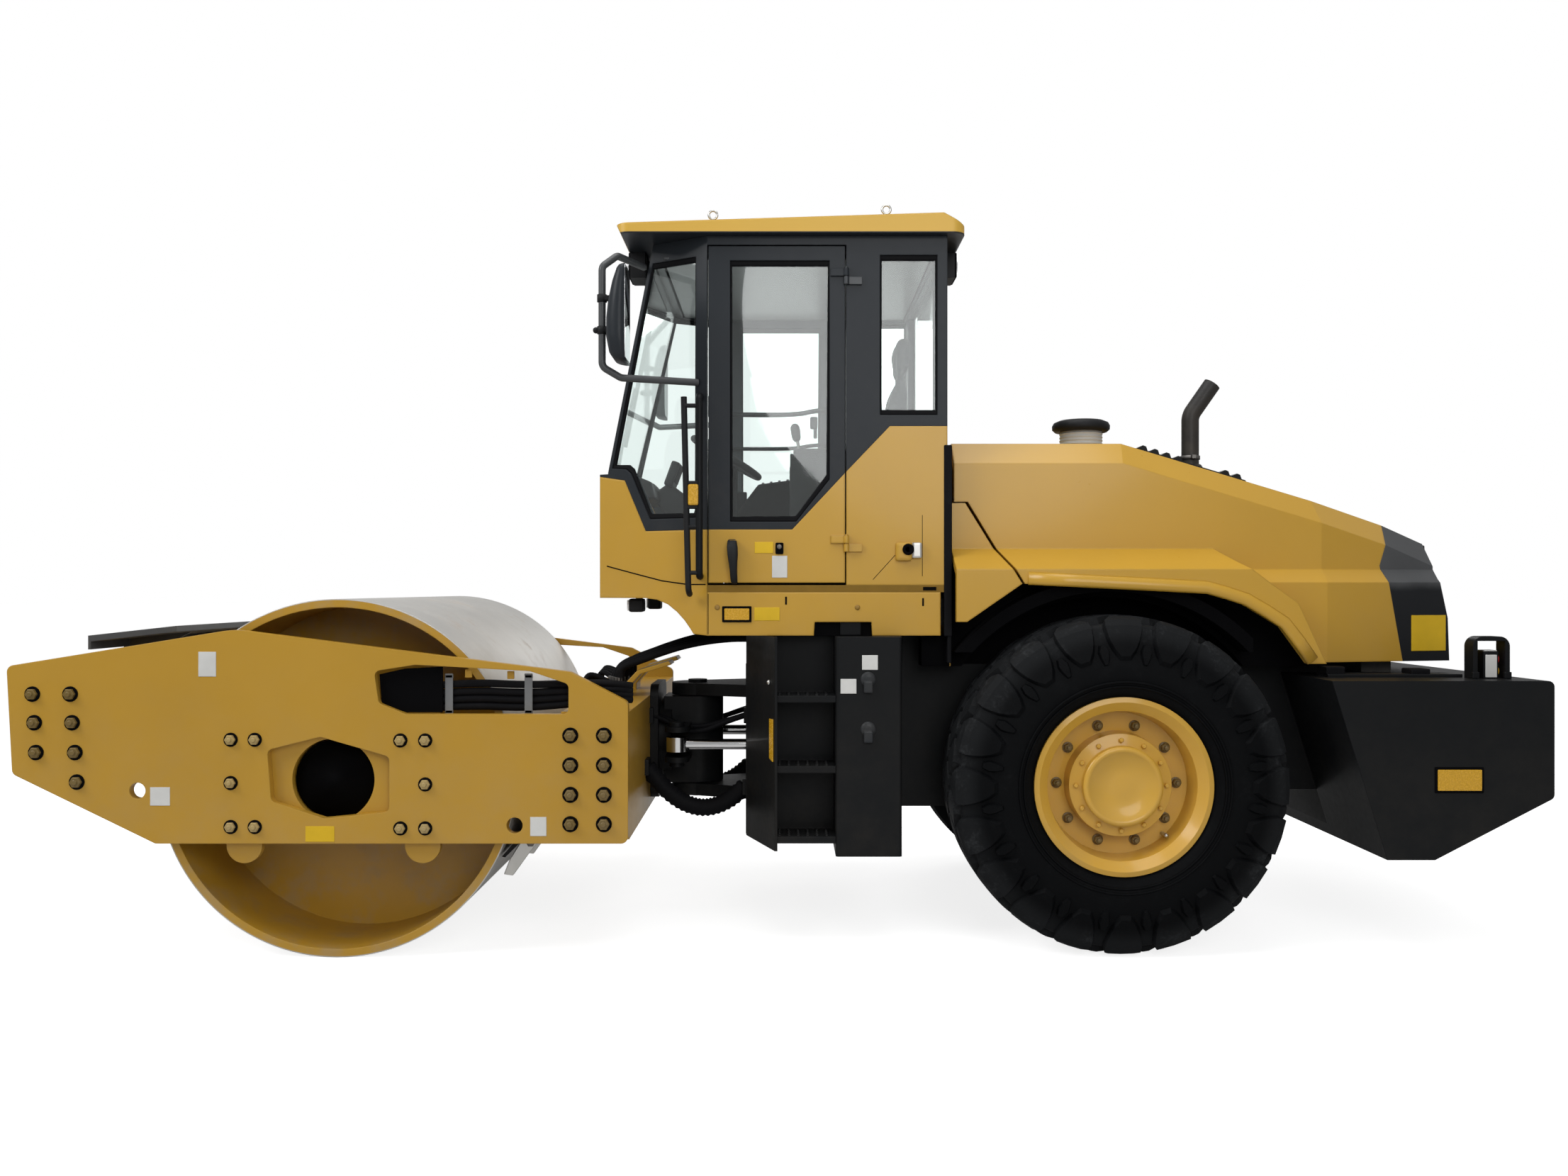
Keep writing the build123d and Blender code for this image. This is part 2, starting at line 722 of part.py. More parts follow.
with BuildPart() as cab_frame:
    add(cab_ring.part)
    # the raked front wall and the ceiling
    with BuildSketch(screen_plane):
        Polygon(
            (screen_foot_half, -6),
            (screen_head_half, screen_length + 6),
            (-screen_head_half, screen_length + 6),
            (-screen_foot_half, -6),
        )
    extrude(amount=-cab_wall)
    with BuildSketch(Plane.XY.offset(cab_ceiling_z)):
        Polygon(*cab_plan)
    extrude(amount=cab_top_z - cab_ceiling_z)
    with BuildSketch(side_plane(0)):
        Polygon(*screen_cut)
        Polygon(*nose_zone)
        Polygon(*quarter_zone)
        with Locations((0, cab_floor_top_z - 400)):
            Rectangle(4000, 800)
        with Locations((0, cab_top_z + 400)):
            Rectangle(4000, 800)
    extrude(amount=cab_half_width + 100, both=True, mode=Mode.SUBTRACT)
    # door openings
    with BuildSketch(side_plane(0)):
        with Locations(((door_front_x + door_rear_x) / 2, (cab_floor_top_z + door_top_z) / 2)):
            Rectangle(door_front_x - door_rear_x, door_top_z - cab_floor_top_z)
    extrude(amount=cab_half_width + 50, both=True, mode=Mode.SUBTRACT)
    with BuildSketch(Plane.XY.offset(cab_ceiling_z)):
        with Locations(((door_front_x + door_rear_x) / 2, 0)):
            Rectangle(door_front_x - door_rear_x + 40, 2 * (cab_half_width - cab_wall))
    extrude(amount=cab_top_z - cab_ceiling_z)
    # windows
    openings = ((left_cheek, left_cheek_window), (right_cheek, cheek_window), (screen_plane, screen_window))
    for plane, outline in openings:
        with BuildSketch(plane):
            Polygon(*outline)
        extrude(amount=100, both=True, mode=Mode.SUBTRACT)
    with BuildSketch(side_plane(0)):
        Polygon(*quarter_window)
    extrude(amount=cab_half_width + 50, both=True, mode=Mode.SUBTRACT)
    with BuildSketch(wall_plane(cab_rear_x)):
        with Locations((0, (rear_window_low_z + rear_window_high_z) / 2)):
            Rectangle(2 * rear_window_half, rear_window_high_z - rear_window_low_z)
    extrude(amount=cab_wall, mode=Mode.SUBTRACT)
save(cab_frame.part, "cab_frame")

with BuildPart() as windscreen:
    with BuildSketch(screen_plane.offset(-glass_inset)):
        Polygon(*screen_window)
    extrude(amount=-glass_thickness)
save(windscreen.part, "windscreen")

with BuildPart() as rear_window:
    with BuildSketch(wall_plane(cab_rear_x + glass_inset)):
        with Locations((0, (rear_window_low_z + rear_window_high_z) / 2)):
            Rectangle(2 * rear_window_half, rear_window_high_z - rear_window_low_z)
    extrude(amount=glass_thickness)
save(rear_window.part, "rear_window")

with BuildPart() as side_windows:
    for cheek, outline in ((left_cheek, left_cheek_window), (right_cheek, cheek_window)):
        with BuildSketch(cheek.offset(-glass_inset)):
            Polygon(*outline)
        extrude(amount=-glass_thickness)
    with BuildSketch(side_plane(cab_half_width - glass_inset)):
        Polygon(*quarter_window)
    extrude(amount=glass_thickness)
    with BuildSketch(side_plane(-cab_half_width + glass_inset)):
        Polygon(*quarter_window)
    extrude(amount=-glass_thickness)
save(side_windows.part, "side_windows")

# Floor platform and the yellow sills under the doors
floor_half_width = cab_half_width - cab_wall
with BuildPart() as cab_floor:
    with BuildSketch(Plane.XY.offset(nose_bottom_z)):
        Polygon(*cab_plan)
        offset(amount=-cab_wall, kind=Kind.INTERSECTION, mode=Mode.REPLACE)
    extrude(amount=cab_floor_top_z - nose_bottom_z)
    with Locations(((cab_corner_x + cab_rear_x) / 2, 0, (cab_floor_bottom_z + nose_bottom_z) / 2)):
        Box(cab_corner_x - cab_rear_x - 20, 2 * floor_half_width, nose_bottom_z - cab_floor_bottom_z)
    with Locations(((cab_corner_x + cab_rear_x) / 2, 0, cab_floor_top_z - floor_plate / 2)):
        Box(cab_corner_x - cab_rear_x, 2 * cab_half_width, floor_plate)
save(cab_floor.part, "cab_floor")

sill_rear_x = -704
notch_front_x = -134
notch_rear_x = -397
notch_height = 61
notch_draft = 4
with BuildPart() as cab_sills:
    with BuildSketch(side_plane(cab_half_width)):
        Polygon(
            (cab_corner_x, cab_sill_bottom_z),
            (cab_corner_x, cab_sill_top_z),
            (sill_rear_x, cab_sill_top_z),
            (sill_rear_x, cab_sill_bottom_z),
            (notch_rear_x, cab_sill_bottom_z),
            (notch_rear_x + notch_draft, cab_sill_bottom_z + notch_height),
            (notch_front_x - notch_draft, cab_sill_bottom_z + notch_height),
            (notch_front_x, cab_sill_bottom_z),
        )
    extrude(amount=cab_wall)
    mirror(about=Plane.XZ)
save(cab_sills.part, "cab_sills")

# Roof
roof_half_width = cab_half_width + roof_overhang
roof_front_x = 752
roof_rear_x = -812
roof_corner = 60
roof_outline = [
    (roof_front_x, roof_top_z - 46),
    (roof_front_x - 22, cab_top_z),
    (roof_rear_x, cab_top_z),
    (roof_rear_x, roof_top_z - 53),
    (roof_rear_x + 98, roof_top_z),
    (roof_rear_x + 445, roof_top_z - 11),
]
with BuildPart() as cab_roof:
    with BuildSketch(side_plane(0)):
        Polygon(*roof_outline)
    extrude(amount=roof_half_width, both=True)
    with BuildSketch(Plane.XY.offset(cab_top_z)):
        with Locations(((roof_front_x + roof_rear_x) / 2, 0)):
            RectangleRounded(roof_front_x - roof_rear_x, 2 * roof_half_width, roof_corner)
    extrude(amount=2 * roof_rise, mode=Mode.INTERSECT)
save(cab_roof.part, "cab_roof")

# Doors, hinged on their rear edge
door_thickness = 40
door_bottom_z = cab_bottom_z + door_gap
door_outline = [
    (door_front_x - door_gap, door_bottom_z),
    (door_front_x - door_gap, door_top_z - door_gap),
    (door_rear_x + door_gap, door_top_z - door_gap),
    (door_rear_x + door_gap, door_bottom_z),
]
door_window = [
    (242, waist_z + 35),
    (242, door_top_z - 70),
    (-205, door_top_z - 70),
    (-205, 2075),
    (-55, waist_z + 35),
]
handle_x = 228
handle_mid_z = 1706
handle_width = 28
handle_length = 190
handle_depth = 28
door_panel_zone = [
    (door_front_x + 50, door_bottom_z - 50),
    (door_front_x + 50, waist_z),
    (-37, waist_z),
    (door_rear_x, 2110),
    (door_rear_x - 50, 2110),
    (door_rear_x - 50, door_bottom_z - 50),
]
hinge_y = cab_half_width + 13
hinge_radius = 12
hinge_pin_radius = 7
hinge_heights = {"panel": waist_z - 100, "frame": door_top_z - 180}
knuckle_height = 34
strap_length = 70
strap_thickness = 12


def hinge_leaf(side, low_z, direction, pinned):
    """One leaf of a door hinge: a knuckle on the hinge axis and a strap along the wall."""
    with BuildPart() as leaf:
        with BuildSketch(Plane.XY.offset(low_z)):
            with Locations((door_rear_x + direction * strap_length / 2, side * (cab_half_width + strap_thickness / 2))):
                Rectangle(strap_length, strap_thickness)
            with Locations((door_rear_x, side * (cab_half_width + strap_thickness / 2))):
                Rectangle(2 * small_gap + 2, 30, mode=Mode.SUBTRACT)
            with Locations((door_rear_x, side * hinge_y)):
                Circle(hinge_radius)
            if not pinned:
                with Locations((door_rear_x, side * hinge_y)):
                    Circle(hinge_pin_radius + running_gap, mode=Mode.SUBTRACT)
        extrude(amount=knuckle_height)
        if pinned:
            with BuildSketch(Plane.XY.offset(low_z)):
                with Locations((door_rear_x, side * hinge_y)):
                    Circle(hinge_pin_radius)
            extrude(amount=2 * knuckle_height + 10)
    return leaf.part


with BuildPart() as door_hinges:
    for side in (1, -1):
        for low_z in hinge_heights.values():
            add(hinge_leaf(side, low_z, -1, True))
save(door_hinges.part, "door_hinges")

for side, hand in ((1, "left"), (-1, "right")):
    outer = side_plane(side * cab_half_width)
    inward = side * door_thickness
    with BuildPart() as door_frame:
        with BuildSketch(outer) as door_face:
            Polygon(*door_outline)
            Polygon(*door_panel_zone, mode=Mode.SUBTRACT)
            Polygon(*door_window, mode=Mode.SUBTRACT)
        extrude(amount=inward)
        add(hinge_leaf(side, hinge_heights["frame"] + knuckle_height + 4, 1, False))
    save(door_frame.part, f"door_{hand}_frame")
    with BuildPart() as door_panel:
        with BuildSketch(outer):
            Polygon(*door_outline)
            Polygon(*door_panel_zone, mode=Mode.INTERSECT)
        extrude(amount=inward)
        with Locations((handle_x, side * (cab_half_width + handle_depth / 2), handle_mid_z)):
            Box(handle_width, handle_depth, handle_length)
        add(hinge_leaf(side, hinge_heights["panel"] + knuckle_height + 4, 1, False))
    save(door_panel.part, f"door_{hand}_panel")
    with BuildPart() as door_glass:
        with BuildSketch(side_plane(side * (cab_half_width - glass_inset))):
            Polygon(*door_window)
        extrude(amount=side * glass_thickness)
    save(door_glass.part, f"door_{hand}_glass")


# Seat, console and steering wheel
seat_x = -300
seat_half_width = 250
cushion_top_z = 2080
cushion_thickness = 130
head_room = 312
back_top_z = cab_top_z - head_room
back_thickness = 120
cushion_low_z = cushion_top_z - cushion_thickness
cushion_rear_x = seat_x - 200
cushion_length = 470
with BuildPart() as seat_base:
    with Locations((seat_x, 0, (cab_floor_top_z + cushion_low_z) / 2)):
        Box(300, 320, cushion_low_z - cab_floor_top_z)
    with Locations((seat_x - 35, 0, cushion_low_z - 30)):
        Box(cushion_length + 80, 2 * seat_half_width - 40, 60)
save(seat_base.part, "seat_base")

with BuildPart() as seat_cushion:
    with BuildSketch(Plane.XY.offset(cushion_low_z)):
        with Locations((cushion_rear_x + cushion_length / 2, 0)):
            RectangleRounded(cushion_length, 2 * seat_half_width, 70)
    extrude(amount=cushion_thickness)
    fillet(seat_cushion.edges().group_by(Axis.Z)[-1], 36)
save(seat_cushion.part, "seat_cushion")

back_lean = 56
with BuildPart() as seat_back:
    with BuildSketch(side_plane(0)):
        Polygon(
            (cushion_rear_x, cushion_low_z),
            (cushion_rear_x - back_lean, back_top_z),
            (cushion_rear_x - back_lean - back_thickness + 30, back_top_z),
            (cushion_rear_x - back_thickness, cushion_low_z),
        )
    extrude(amount=seat_half_width, both=True)
    with BuildSketch(wall_plane(cushion_rear_x)) as back_face:
        with Locations((0, (cushion_low_z + back_top_z) / 2 - 60)):
            RectangleRounded(2 * seat_half_width - 30, back_top_z - cushion_low_z - 120, 90)
        with Locations((0, back_top_z - 110)):
            RectangleRounded(310, 220, 70)
        with Locations((0, cushion_low_z + 60)):
            Rectangle(2 * seat_half_width - 60, 120)
    extrude(amount=-400, mode=Mode.INTERSECT)
save(seat_back.part, "seat_back")

console_top_z = 2190
console_x = 400
console_half_width = 110
armrest_y = 350
armrest_top_z = 2230
armrest_length = 420
armrest_width = 100
with BuildPart() as steering_console:
    with BuildSketch(side_plane(0)):
        Polygon(
            (console_x + 160, cab_floor_top_z),
            (console_x, console_top_z - 60),
            (console_x - 70, console_top_z),
            (console_x - 100, console_top_z - 90),
            (console_x, cab_floor_top_z),
        )
    extrude(amount=console_half_width, both=True)
    for side in (1, -1):
        with Locations((seat_x + 60, side * armrest_y, (cab_floor_top_z + armrest_top_z) / 2)):
            Box(armrest_length, armrest_width, armrest_top_z - cab_floor_top_z)
save(steering_console.part, "steering_console")

wheel_ring_radius = 190
wheel_plane = Plane(origin=(console_x - 70, 0, console_top_z), x_dir=(0, 1, 0), z_dir=(-0.6, 0, 1))
with BuildPart() as steering_wheel:
    with Locations(wheel_plane.offset(70)):
        Torus(wheel_ring_radius, 17)
        Cylinder(46, 40)
        Box(2 * wheel_ring_radius, 34, 20)
    with BuildSketch(wheel_plane):
        Circle(24)
    extrude(amount=70)
save(steering_wheel.part, "steering_wheel")

# Mirrors on bent tube arms, and the grab rails beside the doors
arm_tube_radius = 16
mirror_x = 800
mirror_y = 930
mirror_high_z = cab_top_z - 112
mirror_low_z = mirror_high_z - 545
mirror_mid_z = mirror_high_z - 271
mirror_path = [
    (cab_corner_x + 44, cab_half_width - 27, mirror_low_z),
    (720, mirror_y - 25, mirror_low_z),
    (mirror_x, mirror_y, mirror_low_z + 45),
    (mirror_x, mirror_y, mirror_high_z - 60),
    (mirror_x - 60, mirror_y - 50, mirror_high_z),
    (screen_head_x + 47, 610, mirror_high_z + 15),
]
with BuildPart() as mirror_arms:
    with BuildLine():
        tube_line = FilletPolyline(*mirror_path, radius=36)
    with BuildSketch(Plane(origin=tube_line @ 0, z_dir=tube_line % 0)):
        Circle(arm_tube_radius)
    sweep()
    add(cab_ring.part, mode=Mode.SUBTRACT)
    mirror(about=Plane.XZ)
save(mirror_arms.part, "mirror_arms")

with BuildPart() as mirrors:
    with BuildSketch(wall_plane(mirror_x - 24)) as mirror_face:
        with Locations((mirror_y + 32, mirror_mid_z)):
            RectangleRounded(236, 412, 50)
    extrude(amount=-82)
    with Locations((mirror_x, mirror_y, mirror_mid_z)):
        Cylinder(arm_tube_radius + running_gap, 500, mode=Mode.SUBTRACT)
    with Locations((mirror_x - 14, mirror_y, mirror_mid_z + 110), (mirror_x - 14, mirror_y, mirror_mid_z - 110)):
        Box(28, 70, 50)
    with Locations((mirror_x, mirror_y, mirror_mid_z)):
        Cylinder(arm_tube_radius + running_gap, 500, mode=Mode.SUBTRACT)
    mirror(about=Plane.XZ)
save(mirrors.part, "mirrors")

rail_stand_off = 50
rail_loop_y = cab_half_width + rail_stand_off
loop_low_z = 1640
loop_high_z = 2447
with BuildPart() as handrails:
    with BuildLine():
        loop = FilletPolyline(
            (cab_corner_x + 33, cab_half_width - rail_stand_off / 2, loop_low_z),
            (cab_corner_x + 33, rail_loop_y, loop_low_z),
            (cab_corner_x + 33, rail_loop_y, loop_high_z),
            (cab_corner_x + 33, cab_half_width - rail_stand_off / 2, loop_high_z),
            radius=30,
        )
    with BuildSketch(Plane(origin=loop @ 0, z_dir=loop % 0)):
        Circle(arm_tube_radius)
    sweep()
    add(cab_ring.part, mode=Mode.SUBTRACT)
    mirror(about=Plane.XZ)
save(handrails.part, "handrails")

# Work lamps under the roof's front edge and on its rear edge
lamp_height = 120
lamp_width = 170
lamp_depth = 70
lamp_y = 420
front_lamp_x = roof_front_x - 62
rear_lamp_x = roof_rear_x + 40
with BuildPart() as work_lamps:
    for lamp_x in (front_lamp_x, rear_lamp_x):
        for side in (1, -1):
            with Locations((lamp_x, side * lamp_y, cab_top_z - lamp_height / 2)):
                Box(lamp_depth, lamp_width, lamp_height)
save(work_lamps.part, "work_lamps")


# Fixed panels between cab and hood, beside the hood's front edge
panel_front_x = -762
panel_thickness = 20
hood_hinge_x = -755
hood_hinge_y = 450
hood_hinge_z = hood_top_z - 20
hood_eye_radius = 14
hood_pin_radius = 8
liner_outer_y = hood_half_width - panel_thickness
fender_outline = [(panel_front_x, 1437), (panel_front_x, 1974), (-826, 1974), (-1053, 1606), (-809, 1437)]
# Arch liners: an inner wall on each rail and a roof over the tyre
liner_thickness = 16
arch_gap = 77
arch_radius = tyre_radius + arch_gap
liner_lip_length = 1330
liner_lip_low_z = 1300
with BuildPart() as arch_liners:
    with BuildSketch(side_plane(liner_outer_y)) as liner_face:
        Polygon(
            (panel_front_x, rail_top_z),
            (panel_front_x, rail_top_z + 470),
            (-1100, rail_top_z + 470),
            (-2150, rail_top_z + 340),
            (-2330, rail_top_z + 210),
            (-2400, rail_top_z),
        )
        with Locations((wheel_x, wheel_z)):
            Circle(arch_radius, mode=Mode.SUBTRACT)
    extrude(amount=liner_outer_y - rail_outer_y + liner_thickness)
    with BuildSketch(side_plane(rail_outer_y)):
        Polygon(
            (panel_front_x, rail_top_z),
            (panel_front_x, rail_top_z + 370),
            (-1150, rail_top_z + 370),
            (-2150, rail_top_z + 330),
            (-2330, rail_top_z),
        )
    extrude(amount=liner_thickness)
    # lip over the tyre, out to the flare
    with BuildSketch(side_plane(hood_flare_half_width - hood_wall - 12)) as lip:
        with Locations((wheel_x, wheel_z)):
            Circle(arch_radius + 80)
            Circle(arch_radius + 24, mode=Mode.SUBTRACT)
        with Locations((wheel_x + 30, liner_lip_low_z + arch_radius / 2)):
            Rectangle(liner_lip_length, arch_radius, mode=Mode.INTERSECT)
    extrude(amount=hood_flare_half_width - hood_wall - 12 - liner_outer_y)
    mirror(about=Plane.XZ)
save(arch_liners.part, "arch_liners")

engine_low_z = 1210
engine_x = -1900
engine_length = 1000
engine_width = 640
engine_height = 480
with BuildPart() as engine_block:
    with Locations((engine_x, 0, engine_low_z + engine_height / 2)):
        Box(engine_length, engine_width, engine_height)
save(engine_block.part, "engine_block")

radiator_x = -2800
radiator_depth = 140
radiator_width = 980
radiator_height = 570
with BuildPart() as radiator:
    with Locations((radiator_x, 0, tail_top_z + radiator_height / 2)):
        Box(radiator_depth, radiator_width, radiator_height)
save(radiator.part, "radiator")

# Hood: a hollow shell that turns up about its front top edge
slope_end = (hood_tail_x + 259, hood_top_z - 375)
tail_top = (hood_tail_x + 43, hood_top_z - 460)
hood_profile = [
    (panel_front_x, hood_top_z),
    (hood_crest_x, hood_top_z),
    slope_end,
    tail_top,
    (tail_top[0], tail_top[1] - 169),
    (hood_tail_x, tail_top[1] - 347),
    (hood_tail_x - 8, hood_bottom_z),
    (panel_front_x, hood_bottom_z),
]
hollow_profile = [
    (hood_front_x + 60, hood_top_z - hood_wall),
    (hood_crest_x - 6, hood_top_z - hood_wall),
    (slope_end[0] - 4, slope_end[1] - hood_wall - 2),
    (tail_top[0] + hood_wall, tail_top[1] - hood_wall + 12),
    (tail_top[0] + hood_wall, tail_top[1] - 165),
    (hood_tail_x + hood_wall, tail_top[1] - 342),
    (hood_tail_x + hood_wall - 8, hood_bottom_z - 50),
    (hood_front_x + 60, hood_bottom_z - 50),
]
tail_half = 560
taper_start_x = -2450
shoulder = 100
hood_plan = [
    (hood_front_x + 100, hood_half_width),
    (taper_start_x, hood_half_width),
    (hood_tail_x - 60, tail_half),
    (hood_tail_x - 60, -tail_half),
    (taper_start_x, -hood_half_width),
    (hood_front_x + 100, -hood_half_width),
]
hollow_plan = [(x, y - hood_wall if y > 0 else y + hood_wall) for x, y in hood_plan]
flare_outline = [
    (hood_half_width - 120, 1766),
    (hood_half_width, 1766),
    (hood_flare_half_width, 1670),
    (hood_flare_half_width, hood_bottom_z),
    (hood_half_width - 120, hood_bottom_z),
]
flare_hollow = [
    (hood_half_width - 200, 1728),
    (hood_half_width - 14, 1728),
    (hood_flare_half_width - hood_wall, 1648),
    (hood_flare_half_width - hood_wall, hood_bottom_z - 95),
    (hood_half_width - 200, hood_bottom_z - 95),
]
# the flare follows the wheel, and a lower side panel runs on behind it to the tail
flare_zone = [
    (hood_front_x + 80, 1830),
    (-1880, 1830),
    (-2030, 1700),
    (-2146, 1612),
    (-2274, 1519),
    (-2400, hood_bottom_z),
    (-2400, hood_bottom_z - 100),
    (hood_front_x + 80, hood_bottom_z - 100),
]
side_panel_half = 785
side_panel_front_x = -2000
side_panel = [
    (hood_half_width - 120, 1682),
    (hood_half_width - 10, 1682),
    (side_panel_half, 1612),
    (side_panel_half, hood_bottom_z),
    (hood_half_width - 120, hood_bottom_z),
]
side_panel_hollow = [
    (hood_half_width - 200, 1640),
    (hood_half_width - 30, 1640),
    (side_panel_half - hood_wall, 1594),
    (side_panel_half - hood_wall, hood_bottom_z - 95),
    (hood_half_width - 200, hood_bottom_z - 95),
]
hood_zone = [
    (hood_front_x, hood_top_z + 60),
    (hood_front_x, 1980),
    (-832 - hood_seam, 1980),
    (-1059 - hood_seam, 1606),
    (-1865, 1565),
    (-2030, 1515),
    (-2194, 1415),
    (-2313, 1252),
    (-3150, 1252),
    (-3150, hood_top_z + 60),
]
tail_zone = [
    (slope_end[0], slope_end[1] + 120),
    (slope_end[0], slope_end[1] - 1),
    (slope_end[0] + 61, slope_end[1] - 190),
    (slope_end[0] - 27, hood_bottom_z - 4),
    (hood_tail_x - 135, hood_bottom_z - 4),
    (hood_tail_x - 135, slope_end[1] + 120),
]


def lower_side(profile, flare, panel, wall):
    """The left wheel flare and the side panel behind it, set in by a wall where they are hollow."""
    taper_run = hood_tail_x - 60 - taper_start_x
    with BuildPart() as form:
        with BuildSketch(wall_plane(hood_front_x + 50)):
            Polygon(*flare)
        extrude(amount=flare_zone[5][0] - hood_front_x - 50)
        with BuildSketch(side_plane(0)):
            Polygon(*[(x + wall if x < wheel_x else x, z) for x, z in flare_zone])
        extrude(amount=-hood_flare_half_width, mode=Mode.INTERSECT)
        with BuildSketch(wall_plane(side_panel_front_x)):
            Polygon(*panel)
        extrude(amount=taper_start_x - side_panel_front_x)
        with BuildSketch(wall_plane(taper_start_x)):
            Polygon(*panel)
        extrude(amount=abs(taper_run), dir=(taper_run, tail_half - hood_half_width, 0))
        with BuildSketch(side_plane(0)):
            Polygon(*profile)
        extrude(amount=-hood_flare_half_width, mode=Mode.INTERSECT)
    return form.part


def hood_body(profile, plan, flare, panel, wall):
    """One closed hood form: profile and plan crossed, shoulders cut off, the lower sides added."""
    with BuildPart() as form:
        with BuildSketch(side_plane(0)):
            Polygon(*profile)
        extrude(amount=hood_flare_half_width, both=True)
        with BuildSketch(Plane.XY.offset(hood_bottom_z - 100)):
            Polygon(*plan)
        extrude(amount=hood_top_z, mode=Mode.INTERSECT)
        chamfer([edge for edge in form.edges() if on_shoulder(edge)], length=shoulder)
        left_side = lower_side(profile, flare, panel, wall)
        add(left_side)
        add(left_side.mirror(Plane.XZ))
    return form.part


def on_shoulder(edge):
    """Tell whether an edge runs along the hood's top at its side."""
    middle = edge.center()
    along = abs(edge.tangent_at(0.5).X) > 0.7
    height_there = hood_top_z if middle.X > hood_crest_x else tail_top[1] - 15
    return along and abs(middle.Y) > 500 and middle.Z > height_there - 60


with BuildPart() as hood_skin:
    add(hood_body(hood_profile, hood_plan, flare_outline, side_panel, 0))
    add(hood_body(hollow_profile, hollow_plan, flare_hollow, side_panel_hollow, hood_wall), mode=Mode.SUBTRACT)

# Fixed panels that carry the hood's line forward to the cab
with BuildPart() as fender_panels:
    add(hood_skin.part)
    with BuildSketch(side_plane(0)):
        Polygon(*fender_outline)
    extrude(amount=hood_flare_half_width + 50, both=True, mode=Mode.INTERSECT)
    # bulkhead between cab and engine bay
    with BuildSketch(wall_plane(panel_front_x)):
        Polygon(
            (liner_outer_y, rail_top_z),
            (liner_outer_y, 1974),
            (liner_outer_y - 100, hood_top_z - 55),
            (100 - liner_outer_y, hood_top_z - 55),
            (-liner_outer_y, 1974),
            (-liner_outer_y, rail_top_z),
        )
    extrude(amount=panel_thickness)
    # hinge lugs and pins for the hood
    for eye_y in (hood_hinge_y, -hood_hinge_y):
        for lug_y in (eye_y + 26, eye_y - 26):
            with BuildSketch(side_plane(lug_y)):
                with Locations((hood_hinge_x, hood_hinge_z)):
                    Circle(hood_eye_radius)
                with Locations((hood_hinge_x, hood_hinge_z - 40)):
                    Rectangle(2 * hood_eye_radius, 80)
            extrude(amount=6, both=True)
        with BuildSketch(side_plane(eye_y)):
            with Locations((hood_hinge_x, hood_hinge_z)):
                Circle(hood_pin_radius)
        extrude(amount=30, both=True)
save(fender_panels.part, "fender_panels")

with BuildPart() as hood_form:
    add(hood_skin.part)
    with BuildSketch(side_plane(0)):
        Polygon(*hood_zone)
    extrude(amount=hood_flare_half_width + 50, both=True, mode=Mode.INTERSECT)

with BuildPart() as hood_shell:
    add(hood_form.part)
    with BuildSketch(side_plane(0)):
        Polygon(*tail_zone)
    extrude(amount=hood_flare_half_width + 50, both=True, mode=Mode.SUBTRACT)
    for eye_y in (hood_hinge_y, -hood_hinge_y):
        with BuildSketch(side_plane(eye_y)):
            with Locations((hood_hinge_x, hood_hinge_z)):
                Circle(hood_eye_radius)
            with Locations(((hood_hinge_x + hood_front_x) / 2 - 4, hood_hinge_z)):
                Rectangle(hood_hinge_x - hood_front_x + 8, 16)
            with Locations((hood_hinge_x, hood_hinge_z)):
                Circle(hood_pin_radius + running_gap, mode=Mode.SUBTRACT)
        extrude(amount=15, both=True)
save(hood_shell.part, "hood_shell")

with BuildPart() as hood_tail:
    add(hood_form.part)
    with BuildSketch(side_plane(0)):
        Polygon(*tail_zone)
    extrude(amount=hood_flare_half_width + 50, both=True, mode=Mode.INTERSECT)
save(hood_tail.part, "hood_tail")

# Cowl, exhaust and intake on top of the hood
slope_fall = (hood_top_z - slope_end[1]) / (hood_crest_x - slope_end[0])


def slope_z(x):
    """Height of the hood's sloping top at a given X."""
    return hood_top_z - (hood_crest_x - x) * slope_fall


cowl_front_x = -1690
cowl_rear_x = -2260
cowl_rise = 50
cowl_half_width = 380
with BuildPart() as hood_cowl:
    with BuildSketch(side_plane(0)):
        Polygon(
            (cowl_front_x, slope_z(cowl_front_x)),
            (cowl_front_x - 40, slope_z(cowl_front_x - 40) + cowl_rise),
            (cowl_rear_x + 40, slope_z(cowl_rear_x + 40) + cowl_rise),
            (cowl_rear_x, slope_z(cowl_rear_x)),
        )
    extrude(amount=cowl_half_width, both=True)
save(hood_cowl.part, "hood_cowl")

exhaust_x = -2010
exhaust_y = 200
exhaust_radius = 42
exhaust_base_z = slope_z(exhaust_x) + cowl_rise
exhaust_bend_z = hood_top_z + 185
exhaust_tip_z = hood_top_z + 340
exhaust_reach = 108
with BuildPart() as exhaust_pipe:
    with BuildLine():
        stack = FilletPolyline(
            (exhaust_x, exhaust_y, exhaust_base_z),
            (exhaust_x, exhaust_y, exhaust_bend_z),
            (exhaust_x - exhaust_reach, exhaust_y, exhaust_tip_z),
            radius=90,
        )
    with BuildSketch(Plane(origin=stack @ 0, z_dir=stack % 0)):
        Circle(exhaust_radius)
        Circle(exhaust_radius - 6, mode=Mode.SUBTRACT)
    sweep()
    with BuildSketch(side_plane(0)):
        Polygon(*[
            (exhaust_x - 300, exhaust_base_z - 200),
            (exhaust_x + 200, exhaust_base_z - 200),
            (exhaust_x + 200, slope_z(exhaust_x + 200) + cowl_rise),
            (exhaust_x - 300, slope_z(exhaust_x - 300) + cowl_rise),
        ])
    extrude(amount=500, both=True, mode=Mode.SUBTRACT)
save(exhaust_pipe.part, "exhaust_pipe")

